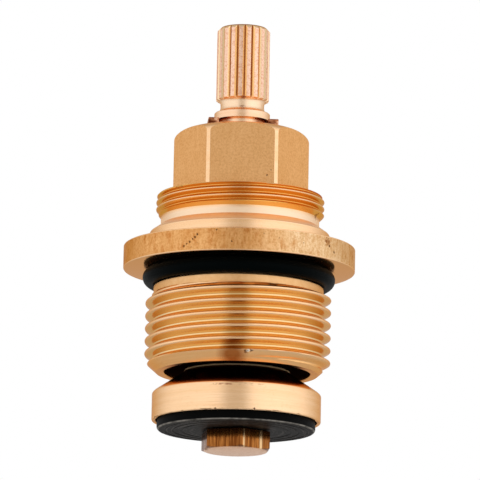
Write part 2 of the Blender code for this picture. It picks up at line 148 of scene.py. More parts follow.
# Valve carrier
STEM_RADIUS = 7.5
STEM_BOTTOM = -14.85
STEM_FLARE = 0.09
STEM_FLARE_HEIGHT = 0.3
DISC_RADIUS = 12.0
DISC_CROWN = 0.4
DISC_RIM = 0.22
DISC_TOP = -17.77
CARRIER_BOTTOM = -21.77
CARRIER_PISTON_RADIUS = 9.0
CARRIER_PISTON_TOP = -3.9
CARRIER_PISTON_BOTTOM = -8.4
CARRIER_GUIDE_TOP = 5.1
CARRIER_GUIDE_ACROSS_FLATS = 15.0
CARRIER_GUIDE_CORNER = 0.4
CARRIER_RING_HEIGHT = -6.15
CARRIER_RING_FLOOR = 7.2
RECESS_RADIUS = 11.45
RECESS_TOP = -19.77
BORE_RADIUS = 5.0
BORE_BOTTOM = -12.4
SCREW_HOLE_RADIUS = 2.7
SCREW_HOLE_DEPTH = 4.4

# Washer and its screw
WASHER_RADIUS = 11.25
WASHER_TOP = -19.97
WASHER_BOTTOM = -23.07
WASHER_TOP_ROUNDING = 0.3
WASHER_ROUNDING = 0.45
MOULD_RINGS = (10.1, 8.9, 7.7)
MOULD_RING_DEPTH = 0.09
MOULD_RING_HALF_WIDTHS = (0.22, 0.08)
SCREW_RADIUS = 2.5
SCREW_TIP = -15.77
SCREW_HEAD_TOP = -23.27
SCREW_HEAD_BOTTOM = -26.0
SCREW_HEAD_ACROSS_FLATS = 9.0
SCREW_HEAD_TURN = 7.9
SCREW_END_RADIUS = 4.3
SCREW_END_CHAMFER = 0.35

# How far a hex cutter stands out of the round blank that it cuts
CUTTER_MARGIN = 0.6

# Camera: below the headwork and a long way off, as the photograph shows it
CAMERA_DISTANCE = 780.0
CAMERA_ELEVATION = -10.8
CAMERA_AZIMUTH = -0.84
CAMERA_ROLL = 1.15
CAMERA_LENS = 410.4
AIM = (0.05, 0.0, 4.54)
FLOOR_HEIGHT = -900.0
FLOOR_SIZE = 2400.0

# The light tent: the light of its walls by azimuth, nought towards the camera, and by height
GAP = (0.62, 0.585, 0.53)
WALLS = (
    (-180, 0.62), (-150, 0.68), (-128, 0.77), (-112, 0.93), (-96, 1.02), (-60, 1.06), (-40, 1.08),
    (-25, 1.05), (-17, 0.78), (-12, GAP), (0, GAP), (8, GAP), (14, 0.84), (21, 1.10), (34, 1.20),
    (60, 1.22), (90, 1.13), (104, 1.04), (116, 0.88), (130, 0.77), (150, 0.70), (180, 0.62),
)
LEVELS = (
    (-90, 0.72), (-35, 0.80), (-12, 0.97), (5, 1.0), (28, 1.0), (55, 0.88), (90, 0.80),
)

# Above, the gap deepens to a brown, between two heights that are given as their sines
GAP_ABOVE = (0.40, 0.24, 0.16)
WALLS_ABOVE = ((-180, 1.0), (-19, 1.0), (-13, GAP_ABOVE), (9, GAP_ABOVE), (15, 1.0), (180, 1.0))
DEEPENING = (0.4, 0.7)


def make_active(piece):
    bpy.ops.object.select_all(action="DESELECT")
    piece.select_set(True)
    bpy.context.view_layer.objects.active = piece


def apply_modifier(piece, modifier):
    make_active(piece)
    bpy.ops.object.modifier_apply(modifier=modifier.name)


def edit_all(piece):
    """Enters edit mode with the whole mesh selected."""
    make_active(piece)
    bpy.ops.object.mode_set(mode="EDIT")
    bpy.ops.mesh.select_all(action="SELECT")


def merge_and_face_outwards(piece):
    edit_all(piece)
    bpy.ops.mesh.remove_doubles(threshold=MERGE_DISTANCE)
    bpy.ops.mesh.normals_make_consistent(inside=False)
    bpy.ops.object.mode_set(mode="OBJECT")


def select_vertices(piece, chosen):
    """Selects, in object mode, the vertices whose index is in chosen."""
    bpy.context.tool_settings.mesh_select_mode = (True, False, False)
    for face in piece.data.polygons:
        face.select = False
    for edge in piece.data.edges:
        edge.select = False
    for vertex in piece.data.vertices:
        vertex.select = vertex.index in chosen


def arc(centre, radii, start, end, count):
    """Points of an upright elliptical arc as (radius, height), between two angles in degrees."""
    points = []
    for i in range(count + 1):
        angle = math.radians(start + (end - start) * i / count)
        points.append((centre[0] + radii[0] * math.cos(angle), centre[1] + radii[1] * math.sin(angle)))
    return points


def draw(name, outline, closed=True):
    """An outline of (radius, height) points in the XZ plane, drawn by extruding one vertex."""
    bpy.ops.object.select_all(action="DESELECT")
    bpy.ops.mesh.primitive_plane_add(size=MM)
    piece = bpy.context.object
    piece.name = name
    piece.data.name = name
    bpy.ops.object.mode_set(mode="EDIT")
    bpy.ops.mesh.merge(type="CENTER")
    bpy.ops.transform.translate(value=(outline[0][0] * MM, 0.0, outline[0][1] * MM))
    for here, there in zip(outline, outline[1:]):
        step = ((there[0] - here[0]) * MM, 0.0, (there[1] - here[1]) * MM)
        bpy.ops.mesh.extrude_region_move(TRANSFORM_OT_translate={"value": step})
    bpy.ops.object.mode_set(mode="OBJECT")
    if closed:
        select_vertices(piece, (0, len(outline) - 1))
        bpy.ops.object.mode_set(mode="EDIT")
        bpy.ops.mesh.edge_face_add()
        bpy.ops.object.mode_set(mode="OBJECT")
    return piece


def turn(piece, steps, degrees=360.0, rise=0.0, turns=1):
    """Turns an outline about the axis. With a rise for each turn it makes a screw."""
    screw = piece.modifiers.new("turn", "SCREW")
    screw.axis = "Z"
    screw.steps = steps
    screw.render_steps = steps
    screw.angle = math.radians(degrees)
    screw.screw_offset = rise * MM
    screw.iterations = turns
    screw.use_merge_vertices = rise == 0.0 and degrees == 360.0
    screw.merge_threshold = MERGE_DISTANCE
    apply_modifier(piece, screw)


def turned(name, outline, steps, closed=True):
    piece = draw(name, outline, closed)
    turn(piece, steps)
    merge_and_face_outwards(piece)
    return piece


def prism(name, sides, radius, bottom, top, degrees=0.0):
    """An upright prism on the axis. Before it is turned, a corner points along +Y."""
    bpy.ops.object.select_all(action="DESELECT")
    bpy.ops.mesh.primitive_cylinder_add(
        vertices=sides, radius=radius * MM, depth=(top - bottom) * MM,
        location=(0.0, 0.0, (bottom + top) / 2 * MM), rotation=(0.0, 0.0, math.radians(degrees)),
    )
    piece = bpy.context.object
    piece.name = name
    bpy.ops.object.transform_apply(location=True, rotation=True, scale=True)
    return piece


def corner_radius(across_flats):
    """From a hexagon's axis to its corners."""
    return across_flats / 2 / math.cos(math.pi / 6)


def hexagon(name, across_flats, bottom, top, degrees=0.0):
    """An upright hex prism with a flat towards -Y before it is turned."""
    return prism(name, 6, corner_radius(across_flats), bottom, top, 30.0 + degrees)


def cut(piece, tool, operation="DIFFERENCE"):
    boolean = piece.modifiers.new("cut", "BOOLEAN")
    boolean.operation = operation
    boolean.object = tool
    boolean.solver = "EXACT"
    apply_modifier(piece, boolean)
    bpy.data.objects.remove(tool)


def cut_outer_hex(piece, across_flats, blank_radius, bottom, top):
    """Cuts six flats on a round blank, down to the plane at its bottom."""
    sleeve = prism("sleeve", 96, blank_radius + CUTTER_MARGIN, bottom, top)
    cut(sleeve, hexagon("flats", across_flats, bottom - 1.0, top + 1.0))
    cut(piece, sleeve)


def thread_outline(radius, depth, pitch, half_angle, rounding, first_crest):
    """One pitch of a thread from root to root, at +X, with rounded crest and root."""
    tip_angle = 90.0 - half_angle
    arc_steps = 3
    radii = (rounding, rounding)
    root_centre = (radius - depth + rounding, first_crest - pitch / 2)
    root = arc(root_centre, radii, 180, 180 - tip_angle, arc_steps)
    crest = arc((radius - rounding, first_crest), radii, -tip_angle, 0, arc_steps)
    start, end = Vector(root[-1]), Vector(crest[0])
    flank = [tuple(start.lerp(end, share)) for share in (1 / 3, 2 / 3)]
    rising = root + flank + crest
    falling = [(r, 2 * first_crest - z) for r, z in reversed(rising[:-1])]
    return rising + falling


def thread_skin(name, outline, pitch, bottom, top, limit):
    """The skin of a right-hand thread between two planes. limit gives the largest radius at a
    height, which makes the chamfers, and the skin meets it at both planes."""
    first = outline[0][1]
    turns_below = math.ceil((first - (bottom - pitch)) / pitch)
    start = first - turns_below * pitch
    turns = math.ceil((top - start) / pitch) + 1
    lowered = [(r, z - turns_below * pitch) for r, z in outline]
    piece = draw(name, lowered, closed=False)
    turn(piece, BONNET_STEPS, rise=pitch, turns=turns)
    for vertex in piece.data.vertices:
        x, y, z = vertex.co / MM
        height = min(max(z, bottom), top)
        radius = math.hypot(x, y)
        wanted = min(radius, limit(height))
        if height in (bottom, top):
            wanted = limit(height)
        vertex.co = Vector((x * wanted / radius, y * wanted / radius, height)) * MM
    edit_all(piece)
    bpy.ops.mesh.remove_doubles(threshold=MERGE_DISTANCE)
    bpy.ops.object.mode_set(mode="OBJECT")
    return piece


def delete_band(piece, bottom, top, inside_radius):
    """Deletes the faces of the plain band that a thread's skin takes the place of."""
    bpy.ops.object.select_all(action="DESELECT")
    for vertex in piece.data.vertices:
        vertex.select = False
    for edge in piece.data.edges:
        edge.select = False
    for face in piece.data.polygons:
        x, y, z = face.center / MM
        face.select = bottom < z < top and math.hypot(x, y) > inside_radius
    make_active(piece)
    bpy.context.tool_settings.mesh_select_mode = (False, False, True)
    bpy.ops.object.mode_set(mode="EDIT")
    bpy.ops.mesh.delete(type="FACE")
    bpy.ops.object.mode_set(mode="OBJECT")
    bpy.context.tool_settings.mesh_select_mode = (True, False, False)


def join(piece, *others):
    make_active(piece)
    for other in others:
        other.select_set(True)
    bpy.ops.object.join()
    merge_and_face_outwards(piece)


def smooth(piece):
    make_active(piece)
    bpy.ops.object.shade_smooth_by_angle(angle=SMOOTH_ANGLE)


def bevel(piece, width, segments, degrees):
    rounding = piece.modifiers.new("rounding", "BEVEL")
    rounding.width = width * MM
    rounding.segments = segments
    rounding.limit_method = "ANGLE"
    rounding.angle_limit = math.radians(degrees)
    apply_modifier(piece, rounding)


def upper_thread_limit(height):
    """The upper thread runs out above its relief and has a small chamfer at the top."""
    start = RELIEF_RADIUS + (height - RELIEF_TOP)
    end = UPPER_THREAD_RADIUS - UPPER_THREAD_CHAMFER + (COLLAR_TOP - height)
    return min(start, end, UPPER_THREAD_RADIUS)


def main_thread_limit(height):
    """The main thread starts steeply from its land and ends in a long chamfer."""
    start = LAND_RADIUS + 2.5 * (LAND_BOTTOM - height)
    slope = (MAIN_THREAD_RADIUS - MAIN_CHAMFER_RADIUS) / MAIN_CHAMFER_HEIGHT
    end = MAIN_CHAMFER_RADIUS + (height - MOUTH_BOTTOM) * slope
    return min(start, end, MAIN_THREAD_RADIUS)


def build_bonnet():
    crown_radii = (HEX_CORNER_RADIUS - CROWN_RADIUS, CROWN_HEIGHT)
    rim_radii = (EDGE_BREAK, EDGE_BREAK)
    outline = [
        (TOP_HOLE_RADIUS, CHAMBER_TOP),
        (TOP_HOLE_RADIUS, BONNET_TOP - EDGE_BREAK),
        (TOP_HOLE_RADIUS + EDGE_BREAK, BONNET_TOP),
        *arc((CROWN_RADIUS, BONNET_TOP - CROWN_HEIGHT), crown_radii, 90, 0, 12),
        (HEX_CORNER_RADIUS, COLLAR_TOP),
        (UPPER_THREAD_RADIUS - UPPER_THREAD_CHAMFER, COLLAR_TOP),
        (RELIEF_RADIUS, RELIEF_TOP),
        (RELIEF_RADIUS, CONE_TOP + FILLET),
        (RELIEF_RADIUS + 2 * CONE_EDGE, CONE_TOP),
        (SHOULDER_RADIUS - FINE_BREAK, SHOULDER_TOP + CONE_EDGE),
        (SHOULDER_RADIUS, SHOULDER_TOP - CONE_EDGE),
        (SHOULDER_RADIUS, FLANGE_TOP + FILLET),
        (SHOULDER_RADIUS + FILLET, FLANGE_TOP),
        *arc((FLANGE_RADIUS - EDGE_BREAK, FLANGE_TOP - EDGE_BREAK), rim_radii, 90, 0, 4),
        *arc((FLANGE_RADIUS - EDGE_BREAK, EDGE_BREAK), rim_radii, 0, -90, 4),
        (RING_GROOVE_RADIUS, 0.0),
        (RING_GROOVE_RADIUS, LAND_TOP),
        (LAND_RADIUS - FINE_BREAK, LAND_TOP),
        (LAND_RADIUS, LAND_TOP - FINE_BREAK),
        (LAND_RADIUS, LAND_BOTTOM),
        (MAIN_CHAMFER_RADIUS, MOUTH_BOTTOM),
        (MOUTH_RADIUS + LIP_BREAK, MOUTH_BOTTOM),
        (MOUTH_RADIUS, MOUTH_BOTTOM + LIP_BREAK),
        (MOUTH_RADIUS, MOUTH_TOP),
        (SEAL_BORE_RADIUS, MOUTH_TOP + 0.4),
        (SEAL_BORE_RADIUS, SEAL_BORE_TOP),
        (CHAMBER_RADIUS, SEAL_BORE_TOP),
        (CHAMBER_RADIUS, CHAMBER_TOP),
    ]
    bonnet = turned("bonnet_body", outline, BONNET_STEPS)
    cut(bonnet, hexagon("guide", GUIDE_ACROSS_FLATS, SEAL_BORE_TOP - 1.0, GUIDE_TOP))
    cut_outer_hex(bonnet, HEX_ACROSS_FLATS, HEX_CORNER_RADIUS, COLLAR_TOP, BONNET_TOP + 1.0)
    delete_band(bonnet, RELIEF_TOP, COLLAR_TOP, RELIEF_RADIUS - 0.2)
    delete_band(bonnet, MOUTH_BOTTOM, LAND_BOTTOM, MAIN_CHAMFER_RADIUS - 0.2)
    upper = thread_skin(
        "upper_thread",
        thread_outline(
            UPPER_THREAD_RADIUS, UPPER_DEPTH, UPPER_PITCH, UPPER_HALF_ANGLE, UPPER_ROUNDING,
            UPPER_CREST_HEIGHT - UPPER_PITCH / 2,
        ),
        UPPER_PITCH, RELIEF_TOP, COLLAR_TOP, upper_thread_limit,
    )
    main = thread_skin(
        "main_thread",
        thread_outline(
            MAIN_THREAD_RADIUS, MAIN_DEPTH, MAIN_PITCH, MAIN_HALF_ANGLE, MAIN_ROUNDING,
            MAIN_CREST_HEIGHT - MAIN_PITCH / 2,
        ),
        MAIN_PITCH, MOUTH_BOTTOM, LAND_BOTTOM, main_thread_limit,
    )
    join(bonnet, upper, main)
    smooth(bonnet)
    return bonnet


def build_spindle():
    waist_radius = SPLINE_RADIUS - SPLINE_END_BREAK
    waist = arc((waist_radius, NECK_TOP), (waist_radius - NECK_RADIUS, WAIST_HEIGHT), 90, 180, 8)
    flare_radius = COLLAR_RADIUS - COLLAR_LIP
    flare_height = NECK_BOTTOM - SPINDLE_COLLAR_TOP - COLLAR_LIP_HEIGHT
    flare = arc((flare_radius, NECK_BOTTOM), (flare_radius - NECK_RADIUS, flare_height), 180, 270, 10)
    outline = [
        (0.0, SPINDLE_TOP - HANDLE_HOLE_DEPTH - HANDLE_HOLE_TIP),
        (HANDLE_HOLE_RADIUS, SPINDLE_TOP - HANDLE_HOLE_DEPTH),
        (HANDLE_HOLE_RADIUS, SPINDLE_TOP - HANDLE_HOLE_CHAMFER),
        (HANDLE_HOLE_RADIUS + HANDLE_HOLE_CHAMFER, SPINDLE_TOP),
        (SPLINE_RADIUS - SPLINE_CHAMFER, SPINDLE_TOP),
        (SPLINE_RADIUS, SPINDLE_TOP - SPLINE_CHAMFER),
        (SPLINE_RADIUS, SPLINE_BOTTOM),
        *waist,
        *flare,
        (COLLAR_RADIUS, SPINDLE_COLLAR_TOP - 0.02),
        (COLLAR_RADIUS, CLIP_GROOVE_TOP + FINE_BREAK),
        (COLLAR_RADIUS - FINE_BREAK, CLIP_GROOVE_TOP),
        (CLIP_GROOVE_RADIUS, CLIP_GROOVE_TOP),
        (CLIP_GROOVE_RADIUS, CLIP_GROOVE_BOTTOM),
        (COLLAR_RADIUS, CLIP_GROOVE_BOTTOM),
        (COLLAR_RADIUS, PISTON_TOP),
        (PISTON_RADIUS, PISTON_TOP),
    ]
    for height in (UPPER_RING_HEIGHT, LOWER_RING_HEIGHT):
        groove_top = height + RING_GROOVE_HALF_HEIGHT
        groove_bottom = height - RING_GROOVE_HALF_HEIGHT
        outline += [
            (PISTON_RADIUS, groove_top), (RING_GROOVE_FLOOR, groove_top),
            (RING_GROOVE_FLOOR, groove_bottom), (PISTON_RADIUS, groove_bottom),
        ]
    outline += [
        (PISTON_RADIUS, PISTON_BOTTOM),
        (DRIVE_RELIEF_RADIUS, PISTON_BOTTOM),
        (DRIVE_RELIEF_RADIUS, DRIVE_THREAD_TOP),
        (DRIVE_THREAD_RADIUS, DRIVE_THREAD_TOP),
        (DRIVE_THREAD_RADIUS, DRIVE_THREAD_BOTTOM + DRIVE_THREAD_CHAMFER),
        (DRIVE_THREAD_RADIUS - DRIVE_THREAD_CHAMFER, DRIVE_THREAD_BOTTOM),
        (0.0, DRIVE_THREAD_BOTTOM),
    ]
    spindle = turned("spindle_body", outline, SPINDLE_STEPS, closed=False)
    cut_spline(spindle)
    merge_and_face_outwards(spindle)
    smooth(spindle)
    return spindle


def cut_spline(spindle):
    """Cuts the V grooves between the teeth, each with its own three-sided cutter."""
    cutter_radius = (SPLINE_DEPTH + SPLINE_CUTTER_MARGIN) * 2 / 3
    middle = SPLINE_RADIUS - SPLINE_DEPTH + cutter_radius
    cutter = prism("groove", 3, cutter_radius, NECK_TOP + 0.3, SPINDLE_TOP + 1.0, 180.0)
    edit_all(cutter)
    bpy.ops.transform.translate(value=(0.0, middle * MM, 0.0))
    bpy.ops.transform.resize(value=(SPLINE_CUTTER_STRETCH, 1.0, 1.0))
    bpy.ops.object.mode_set(mode="OBJECT")
    grooves = []
    for tooth in range(SPLINE_TEETH):
        groove = cutter.copy()
        groove.data = cutter.data.copy()
        bpy.context.collection.objects.link(groove)
        degrees = 180.0 + SPLINE_TURN + 360.0 * tooth / SPLINE_TEETH
        groove.rotation_euler = (0.0, 0.0, math.radians(degrees))
        grooves.append(groove)
    bpy.data.objects.remove(cutter)
    make_active(grooves[0])
    for groove in grooves:
        groove.select_set(True)
    bpy.ops.object.join()
    bpy.ops.object.transform_apply(location=True, rotation=True, scale=True)
    cut(spindle, grooves[0])


def build_clip():
    """A flat horseshoe clip. Its two straight legs reach forward past the spindle."""
    bpy.ops.object.select_all(action="DESELECT")
    bpy.ops.mesh.primitive_circle_add(
        vertices=96, radius=CLIP_OUTER_RADIUS * MM, location=(0.0, 0.0, CLIP_BOTTOM * MM),
    )
    clip = bpy.context.object
    clip.name = "clip"
    bpy.ops.object.transform_apply(location=True, rotation=True, scale=True)
    edit_all(clip)
    bpy.ops.mesh.bisect(
        plane_co=(0.0, 0.0, 0.0), plane_no=(0.0, 1.0, 0.0), clear_inner=True, threshold=MERGE_DISTANCE,
    )
    bpy.ops.mesh.select_all(action="DESELECT")
    bpy.ops.object.mode_set(mode="OBJECT")
    ends = [v.index for v in clip.data.vertices if v.co.y < MERGE_DISTANCE]
    select_vertices(clip, ends)
    bpy.ops.object.mode_set(mode="EDIT")
    bpy.ops.mesh.extrude_region_move(TRANSFORM_OT_translate={"value": (0.0, -CLIP_LEG * MM, 0.0)})
    bpy.ops.mesh.select_all(action="SELECT")
    bpy.ops.mesh.extrude_region_move(
        TRANSFORM_OT_translate={"value": (0.0, 0.0, (CLIP_TOP - CLIP_BOTTOM) * MM)}
    )
    bpy.ops.mesh.select_all(action="SELECT")
    bpy.ops.mesh.normals_make_consistent(inside=False)
    bpy.ops.object.mode_set(mode="OBJECT")
    wall = clip.modifiers.new("wall", "SOLIDIFY")
    wall.thickness = (CLIP_OUTER_RADIUS - CLIP_INNER_RADIUS) * MM
    face = clip.data.polygons[0]
    wall.offset = -1.0 if face.normal.dot(face.center) > 0.0 else 1.0
    wall.use_even_offset = True
    apply_modifier(clip, wall)
    merge_and_face_outwards(clip)
    bevel(clip, width=0.1, segments=3, degrees=40.0)
    edit_all(clip)
    bpy.ops.transform.rotate(
        value=math.radians(-CLIP_TURN), orient_axis="Z", center_override=(0.0, 0.0, 0.0),
    )
    bpy.ops.object.mode_set(mode="OBJECT")
    smooth(clip)
    return clip


def build_flange_ring():
    """The O-ring, pressed flat where it meets the flange and the groove's floor."""
    bpy.ops.object.select_all(action="DESELECT")
    bpy.ops.mesh.primitive_torus_add(
        major_segments=RING_STEPS, minor_segments=RING_SIDES, major_radius=FLANGE_RING_RADIUS * MM,
        minor_radius=FLANGE_RING_SECTION / 2 * MM, location=(0.0, 0.0, FLANGE_RING_HEIGHT * MM),
    )
    ring = bpy.context.object
    ring.name = "seal_ring"
    bpy.ops.object.transform_apply(location=True, rotation=True, scale=True)
    for vertex in ring.data.vertices:
        radius = math.hypot(vertex.co.x, vertex.co.y)
        wanted = max(radius, (RING_GROOVE_RADIUS + FLANGE_RING_GAP) * MM)
        vertex.co.x *= wanted / radius
        vertex.co.y *= wanted / radius
        vertex.co.z = min(vertex.co.z, -FLANGE_RING_GAP * MM)
    make_active(ring)
    bpy.ops.object.shade_smooth()
    return ring


def build_carrier():
    """The valve carrier, from its bore up to the guide's hex, down outside and into the recess."""
    guide_radius = corner_radius(CARRIER_GUIDE_ACROSS_FLATS) - CARRIER_GUIDE_CORNER
    groove_top = CARRIER_RING_HEIGHT + RING_GROOVE_HALF_HEIGHT
    groove_bottom = CARRIER_RING_HEIGHT - RING_GROOVE_HALF_HEIGHT
    crown_radii = (DISC_CROWN, DISC_CROWN)
    rim_radii = (DISC_RIM, DISC_RIM)
    outline = [
        (0.0, BORE_BOTTOM),
        (BORE_RADIUS, BORE_BOTTOM),
        (BORE_RADIUS, CARRIER_GUIDE_TOP),
        (guide_radius, CARRIER_GUIDE_TOP),
        (guide_radius, CARRIER_PISTON_TOP),
        (CARRIER_PISTON_RADIUS, CARRIER_PISTON_TOP),
        (CARRIER_PISTON_RADIUS, groove_top),
        (CARRIER_RING_FLOOR, groove_top),
        (CARRIER_RING_FLOOR, groove_bottom),
        (CARRIER_PISTON_RADIUS, groove_bottom),
        (CARRIER_PISTON_RADIUS, CARRIER_PISTON_BOTTOM),
        (STEM_RADIUS, CARRIER_PISTON_BOTTOM),
        (STEM_RADIUS, STEM_BOTTOM + STEM_FLARE_HEIGHT),
        (STEM_RADIUS + STEM_FLARE, STEM_BOTTOM),
        (DISC_RADIUS - 0.35, DISC_TOP + 0.2),
        *arc((DISC_RADIUS - DISC_CROWN, DISC_TOP - 0.3), crown_radii, 50, 0, 5),
        *arc((DISC_RADIUS - DISC_RIM, CARRIER_BOTTOM + DISC_RIM), rim_radii, 0, -90, 5),
        (RECESS_RADIUS + FINE_BREAK, CARRIER_BOTTOM),
        (RECESS_RADIUS, CARRIER_BOTTOM + FINE_BREAK),
        (RECESS_RADIUS, RECESS_TOP),
        (SCREW_HOLE_RADIUS, RECESS_TOP),
        (SCREW_HOLE_RADIUS, RECESS_TOP + SCREW_HOLE_DEPTH),
        (0.0, RECESS_TOP + SCREW_HOLE_DEPTH),
    ]
    carrier = turned("carrier_body", outline, CARRIER_STEPS, closed=False)
    cut_outer_hex(
        carrier, CARRIER_GUIDE_ACROSS_FLATS, CARRIER_PISTON_RADIUS, CARRIER_PISTON_TOP,
        CARRIER_GUIDE_TOP + 1.0,
    )
    merge_and_face_outwards(carrier)
    smooth(carrier)
    return carrier


def build_washer():
    """The tap washer, with the moulded rings on its underside."""
    wide, narrow = MOULD_RING_HALF_WIDTHS
    ring_floor = WASHER_BOTTOM + MOULD_RING_DEPTH
    underside = []
    for radius in MOULD_RINGS:
        underside += [
            (radius + wide, WASHER_BOTTOM), (radius + narrow, ring_floor),
            (radius - narrow, ring_floor), (radius - wide, WASHER_BOTTOM),
        ]
    top_centre = (WASHER_RADIUS - WASHER_TOP_ROUNDING, WASHER_TOP - WASHER_TOP_ROUNDING)
    bottom_centre = (WASHER_RADIUS - WASHER_ROUNDING, WASHER_BOTTOM + WASHER_ROUNDING)
    outline = [
        (SCREW_RADIUS, WASHER_TOP),
        *arc(top_centre, (WASHER_TOP_ROUNDING, WASHER_TOP_ROUNDING), 90, 0, 4),
        *arc(bottom_centre, (WASHER_ROUNDING, WASHER_ROUNDING), 0, -90, 6),
        *underside,
        (SCREW_RADIUS, WASHER_BOTTOM),
    ]
    washer = turned("rubber_washer", outline, CARRIER_STEPS)
    smooth(washer)
    return washer


def build_screw():
    head_radius = corner_radius(SCREW_HEAD_ACROSS_FLATS)
    blank_radius = head_radius + CUTTER_MARGIN
    slope = SCREW_END_CHAMFER / (head_radius - SCREW_END_RADIUS)
    outline = [
        (0.0, SCREW_TIP),
        (SCREW_RADIUS - 0.3, SCREW_TIP),
        (SCREW_RADIUS, SCREW_TIP - 0.3),
        (SCREW_RADIUS, SCREW_HEAD_TOP),
        (blank_radius, SCREW_HEAD_TOP),
        (blank_radius, SCREW_HEAD_BOTTOM + slope * (blank_radius - SCREW_END_RADIUS)),
        (SCREW_END_RADIUS, SCREW_HEAD_BOTTOM),
        (0.0, SCREW_HEAD_BOTTOM),
    ]
    screw = turned("screw", outline, SCREW_STEPS, closed=False)
    cut(
        screw,
        hexagon(
            "head", SCREW_HEAD_ACROSS_FLATS, SCREW_HEAD_BOTTOM - 1.0, SCREW_TIP + 1.0,
            30.0 + SCREW_HEAD_TURN,
        ),
        "INTERSECT",
    )
    merge_and_face_outwards(screw)
    bevel(screw, width=0.05, segments=2, degrees=24.0)
    smooth(screw)
    return screw


class Finish:
    """A node material on a Principled shader. Marks are laid over its tone, its roughness and its
    normal one after another, and close() gives the result to the shader."""

    def __init__(self, name, colour, roughness, metallic=0.0, **constants):
        self.material = bpy.data.materials.new(name)
        self.material.use_nodes = True
        self.tree = self.material.node_tree
        self.shader = self.tree.nodes["Principled BSDF"]
        self.shader.inputs["Metallic"].default_value = metallic
        for socket, value in constants.items():
            self.shader.inputs[socket.replace("_", " ")].default_value = value
        self.tone = colour
        self.rough = roughness
        self.normal = None
        self.ragged = None
        coordinates = self.node("ShaderNodeTexCoord")
        self.place = self.vector("MULTIPLY", coordinates.outputs["Object"], (1 / MM, 1 / MM, 1 / MM))
        self.upward = self.vector("DOT_PRODUCT", coordinates.outputs["Normal"], (0.0, 0.0, 1.0))
        parts = self.node("ShaderNodeSeparateXYZ", {"Vector": self.place})
        self.side = parts.outputs["X"]
        self.height = parts.outputs["Z"]
        flat = self.vector("MULTIPLY", self.place, (1.0, 1.0, 0.0))
        self.radius = self.vector("LENGTH", flat)
        self.around = self.vector("NORMALIZE", flat)

    def node(self, kind, inputs=None, **settings):
        node = self.tree.nodes.new(kind)
        for name, value in settings.items():
            setattr(node, name, value)
        for socket, value in (inputs or {}).items():
            self.feed(node.inputs[socket], value)
        return node

    def feed(self, socket, value):
        if isinstance(value, bpy.types.NodeSocket):
            self.tree.links.new(value, socket)
        else:
            socket.default_value = value

    def vector(self, operation, *values):
        node = self.node("ShaderNodeVectorMath", operation=operation)
        for socket, value in zip(node.inputs, values):
            self.feed(socket, value)
        as_number = operation in ("LENGTH", "DISTANCE", "DOT_PRODUCT")
        return node.outputs["Value" if as_number else "Vector"]

    def math(self, operation, *values):
        node = self.node("ShaderNodeMath", operation=operation)
        for socket, value in zip(node.inputs, values):
            self.feed(socket, value)
        return node.outputs["Value"]

    def ramp(self, value, low, high, to_low=0.0, to_high=1.0):
        node = self.node("ShaderNodeMapRange", {
            "Value": value, "From Min": low, "From Max": high, "To Min": to_low, "To Max": to_high,
        }, clamp=True)
        return node.outputs["Result"]

    def between(self, value, low, high, soft):
        """One from low to high, and nought further out than a soft edge."""
        rise = self.ramp(value, low - soft, low + soft)
        fall = self.ramp(value, high - soft, high + soft, 1.0, 0.0)
        return self.math("MULTIPLY", rise, fall)

    def both(self, first, second):
        return self.math("MULTIPLY", first, second)

    def noise(self, where, scale, detail=2.0, roughness=0.5):
        node = self.node("ShaderNodeTexNoise", {
            "Vector": where, "Scale": scale, "Detail": detail, "Roughness": roughness,
        })
        return node.outputs["Fac"]

    def mix(self, share, first, second, blend="MIX"):
        node = self.node("ShaderNodeMix", data_type="RGBA", blend_type=blend)
        self.feed(node.inputs[0], share)
        for socket, value in ((node.inputs[6], first), (node.inputs[7], second)):
            self.feed(socket, (*value, 1.0) if isinstance(value, tuple) else value)
        return node.outputs[2]

    def rings(self, across, around):
        """Coordinates for marks that run round the axis: across counts them up the surface, and
        around says how soon one changes along its length."""
        surface = self.math("ADD", self.height, self.radius)
        rounds = self.vector("MULTIPLY", self.around, (around, around, 0.0))
        steps = self.node("ShaderNodeCombineXYZ", {"Z": self.math("MULTIPLY", surface, across)})
        return self.vector("ADD", rounds, steps.outputs["Vector"])

    def streaks(self, across, along):
        """Coordinates for marks that run along the axis."""
        return self.vector("MULTIPLY", self.place, (across, across, along))

    def spot(self, centre, size, stretch=(1.0, 1.0, 1.0)):
        """One at a point of the surface and nought beyond size millimetres from it. A stretch
        above one makes the spot that much longer that way."""
        if self.ragged is None:
            self.ragged = self.ramp(self.noise(self.place, 4.5), 0.3, 0.7, 0.55, 1.35)
        away = self.vector("SUBTRACT", self.place, centre)
        away = self.vector("DIVIDE", away, stretch)
        distance = self.both(self.vector("LENGTH", away), self.ragged)
        return self.ramp(distance, size * 0.5, size * 0.9, 1.0, 0.0)

    def stain(self, share, colour):
        self.tone = self.mix(share, self.tone, colour)

    def tint(self, share, colour):
        self.tone = self.mix(share, self.tone, colour, "MULTIPLY")

    def dull(self, share, roughness):
        """Brings the roughness nearer to another one."""
        step = self.math("SUBTRACT", roughness, self.rough)
        self.rough = self.math("ADD", self.rough, self.both(share, step))

    def bump(self, relief, depth, strength):
        inputs = {"Height": relief, "Distance": depth * MM, "Strength": strength}
        if self.normal is not None:
            inputs["Normal"] = self.normal
        self.normal = self.node("ShaderNodeBump", inputs).outputs["Normal"]

    def pit(self, share, depth=0.08):
        """A small dark hollow."""
        self.stain(self.both(share, 0.85), (0.10, 0.035, 0.012))
        self.bump(share, -depth, 0.8)

    def pits(self, marks):
        """A pit for each mark, which is a place and a size."""
        for place, size in marks:
            self.pit(self.spot(place, size))

    def close(self):
        tone = (*self.tone, 1.0) if isinstance(self.tone, tuple) else self.tone
        self.feed(self.shader.inputs["Base Color"], tone)
        self.feed(self.shader.inputs["Roughness"], self.rough)
        if self.normal is not None:
            self.feed(self.shader.inputs["Normal"], self.normal)
        return self


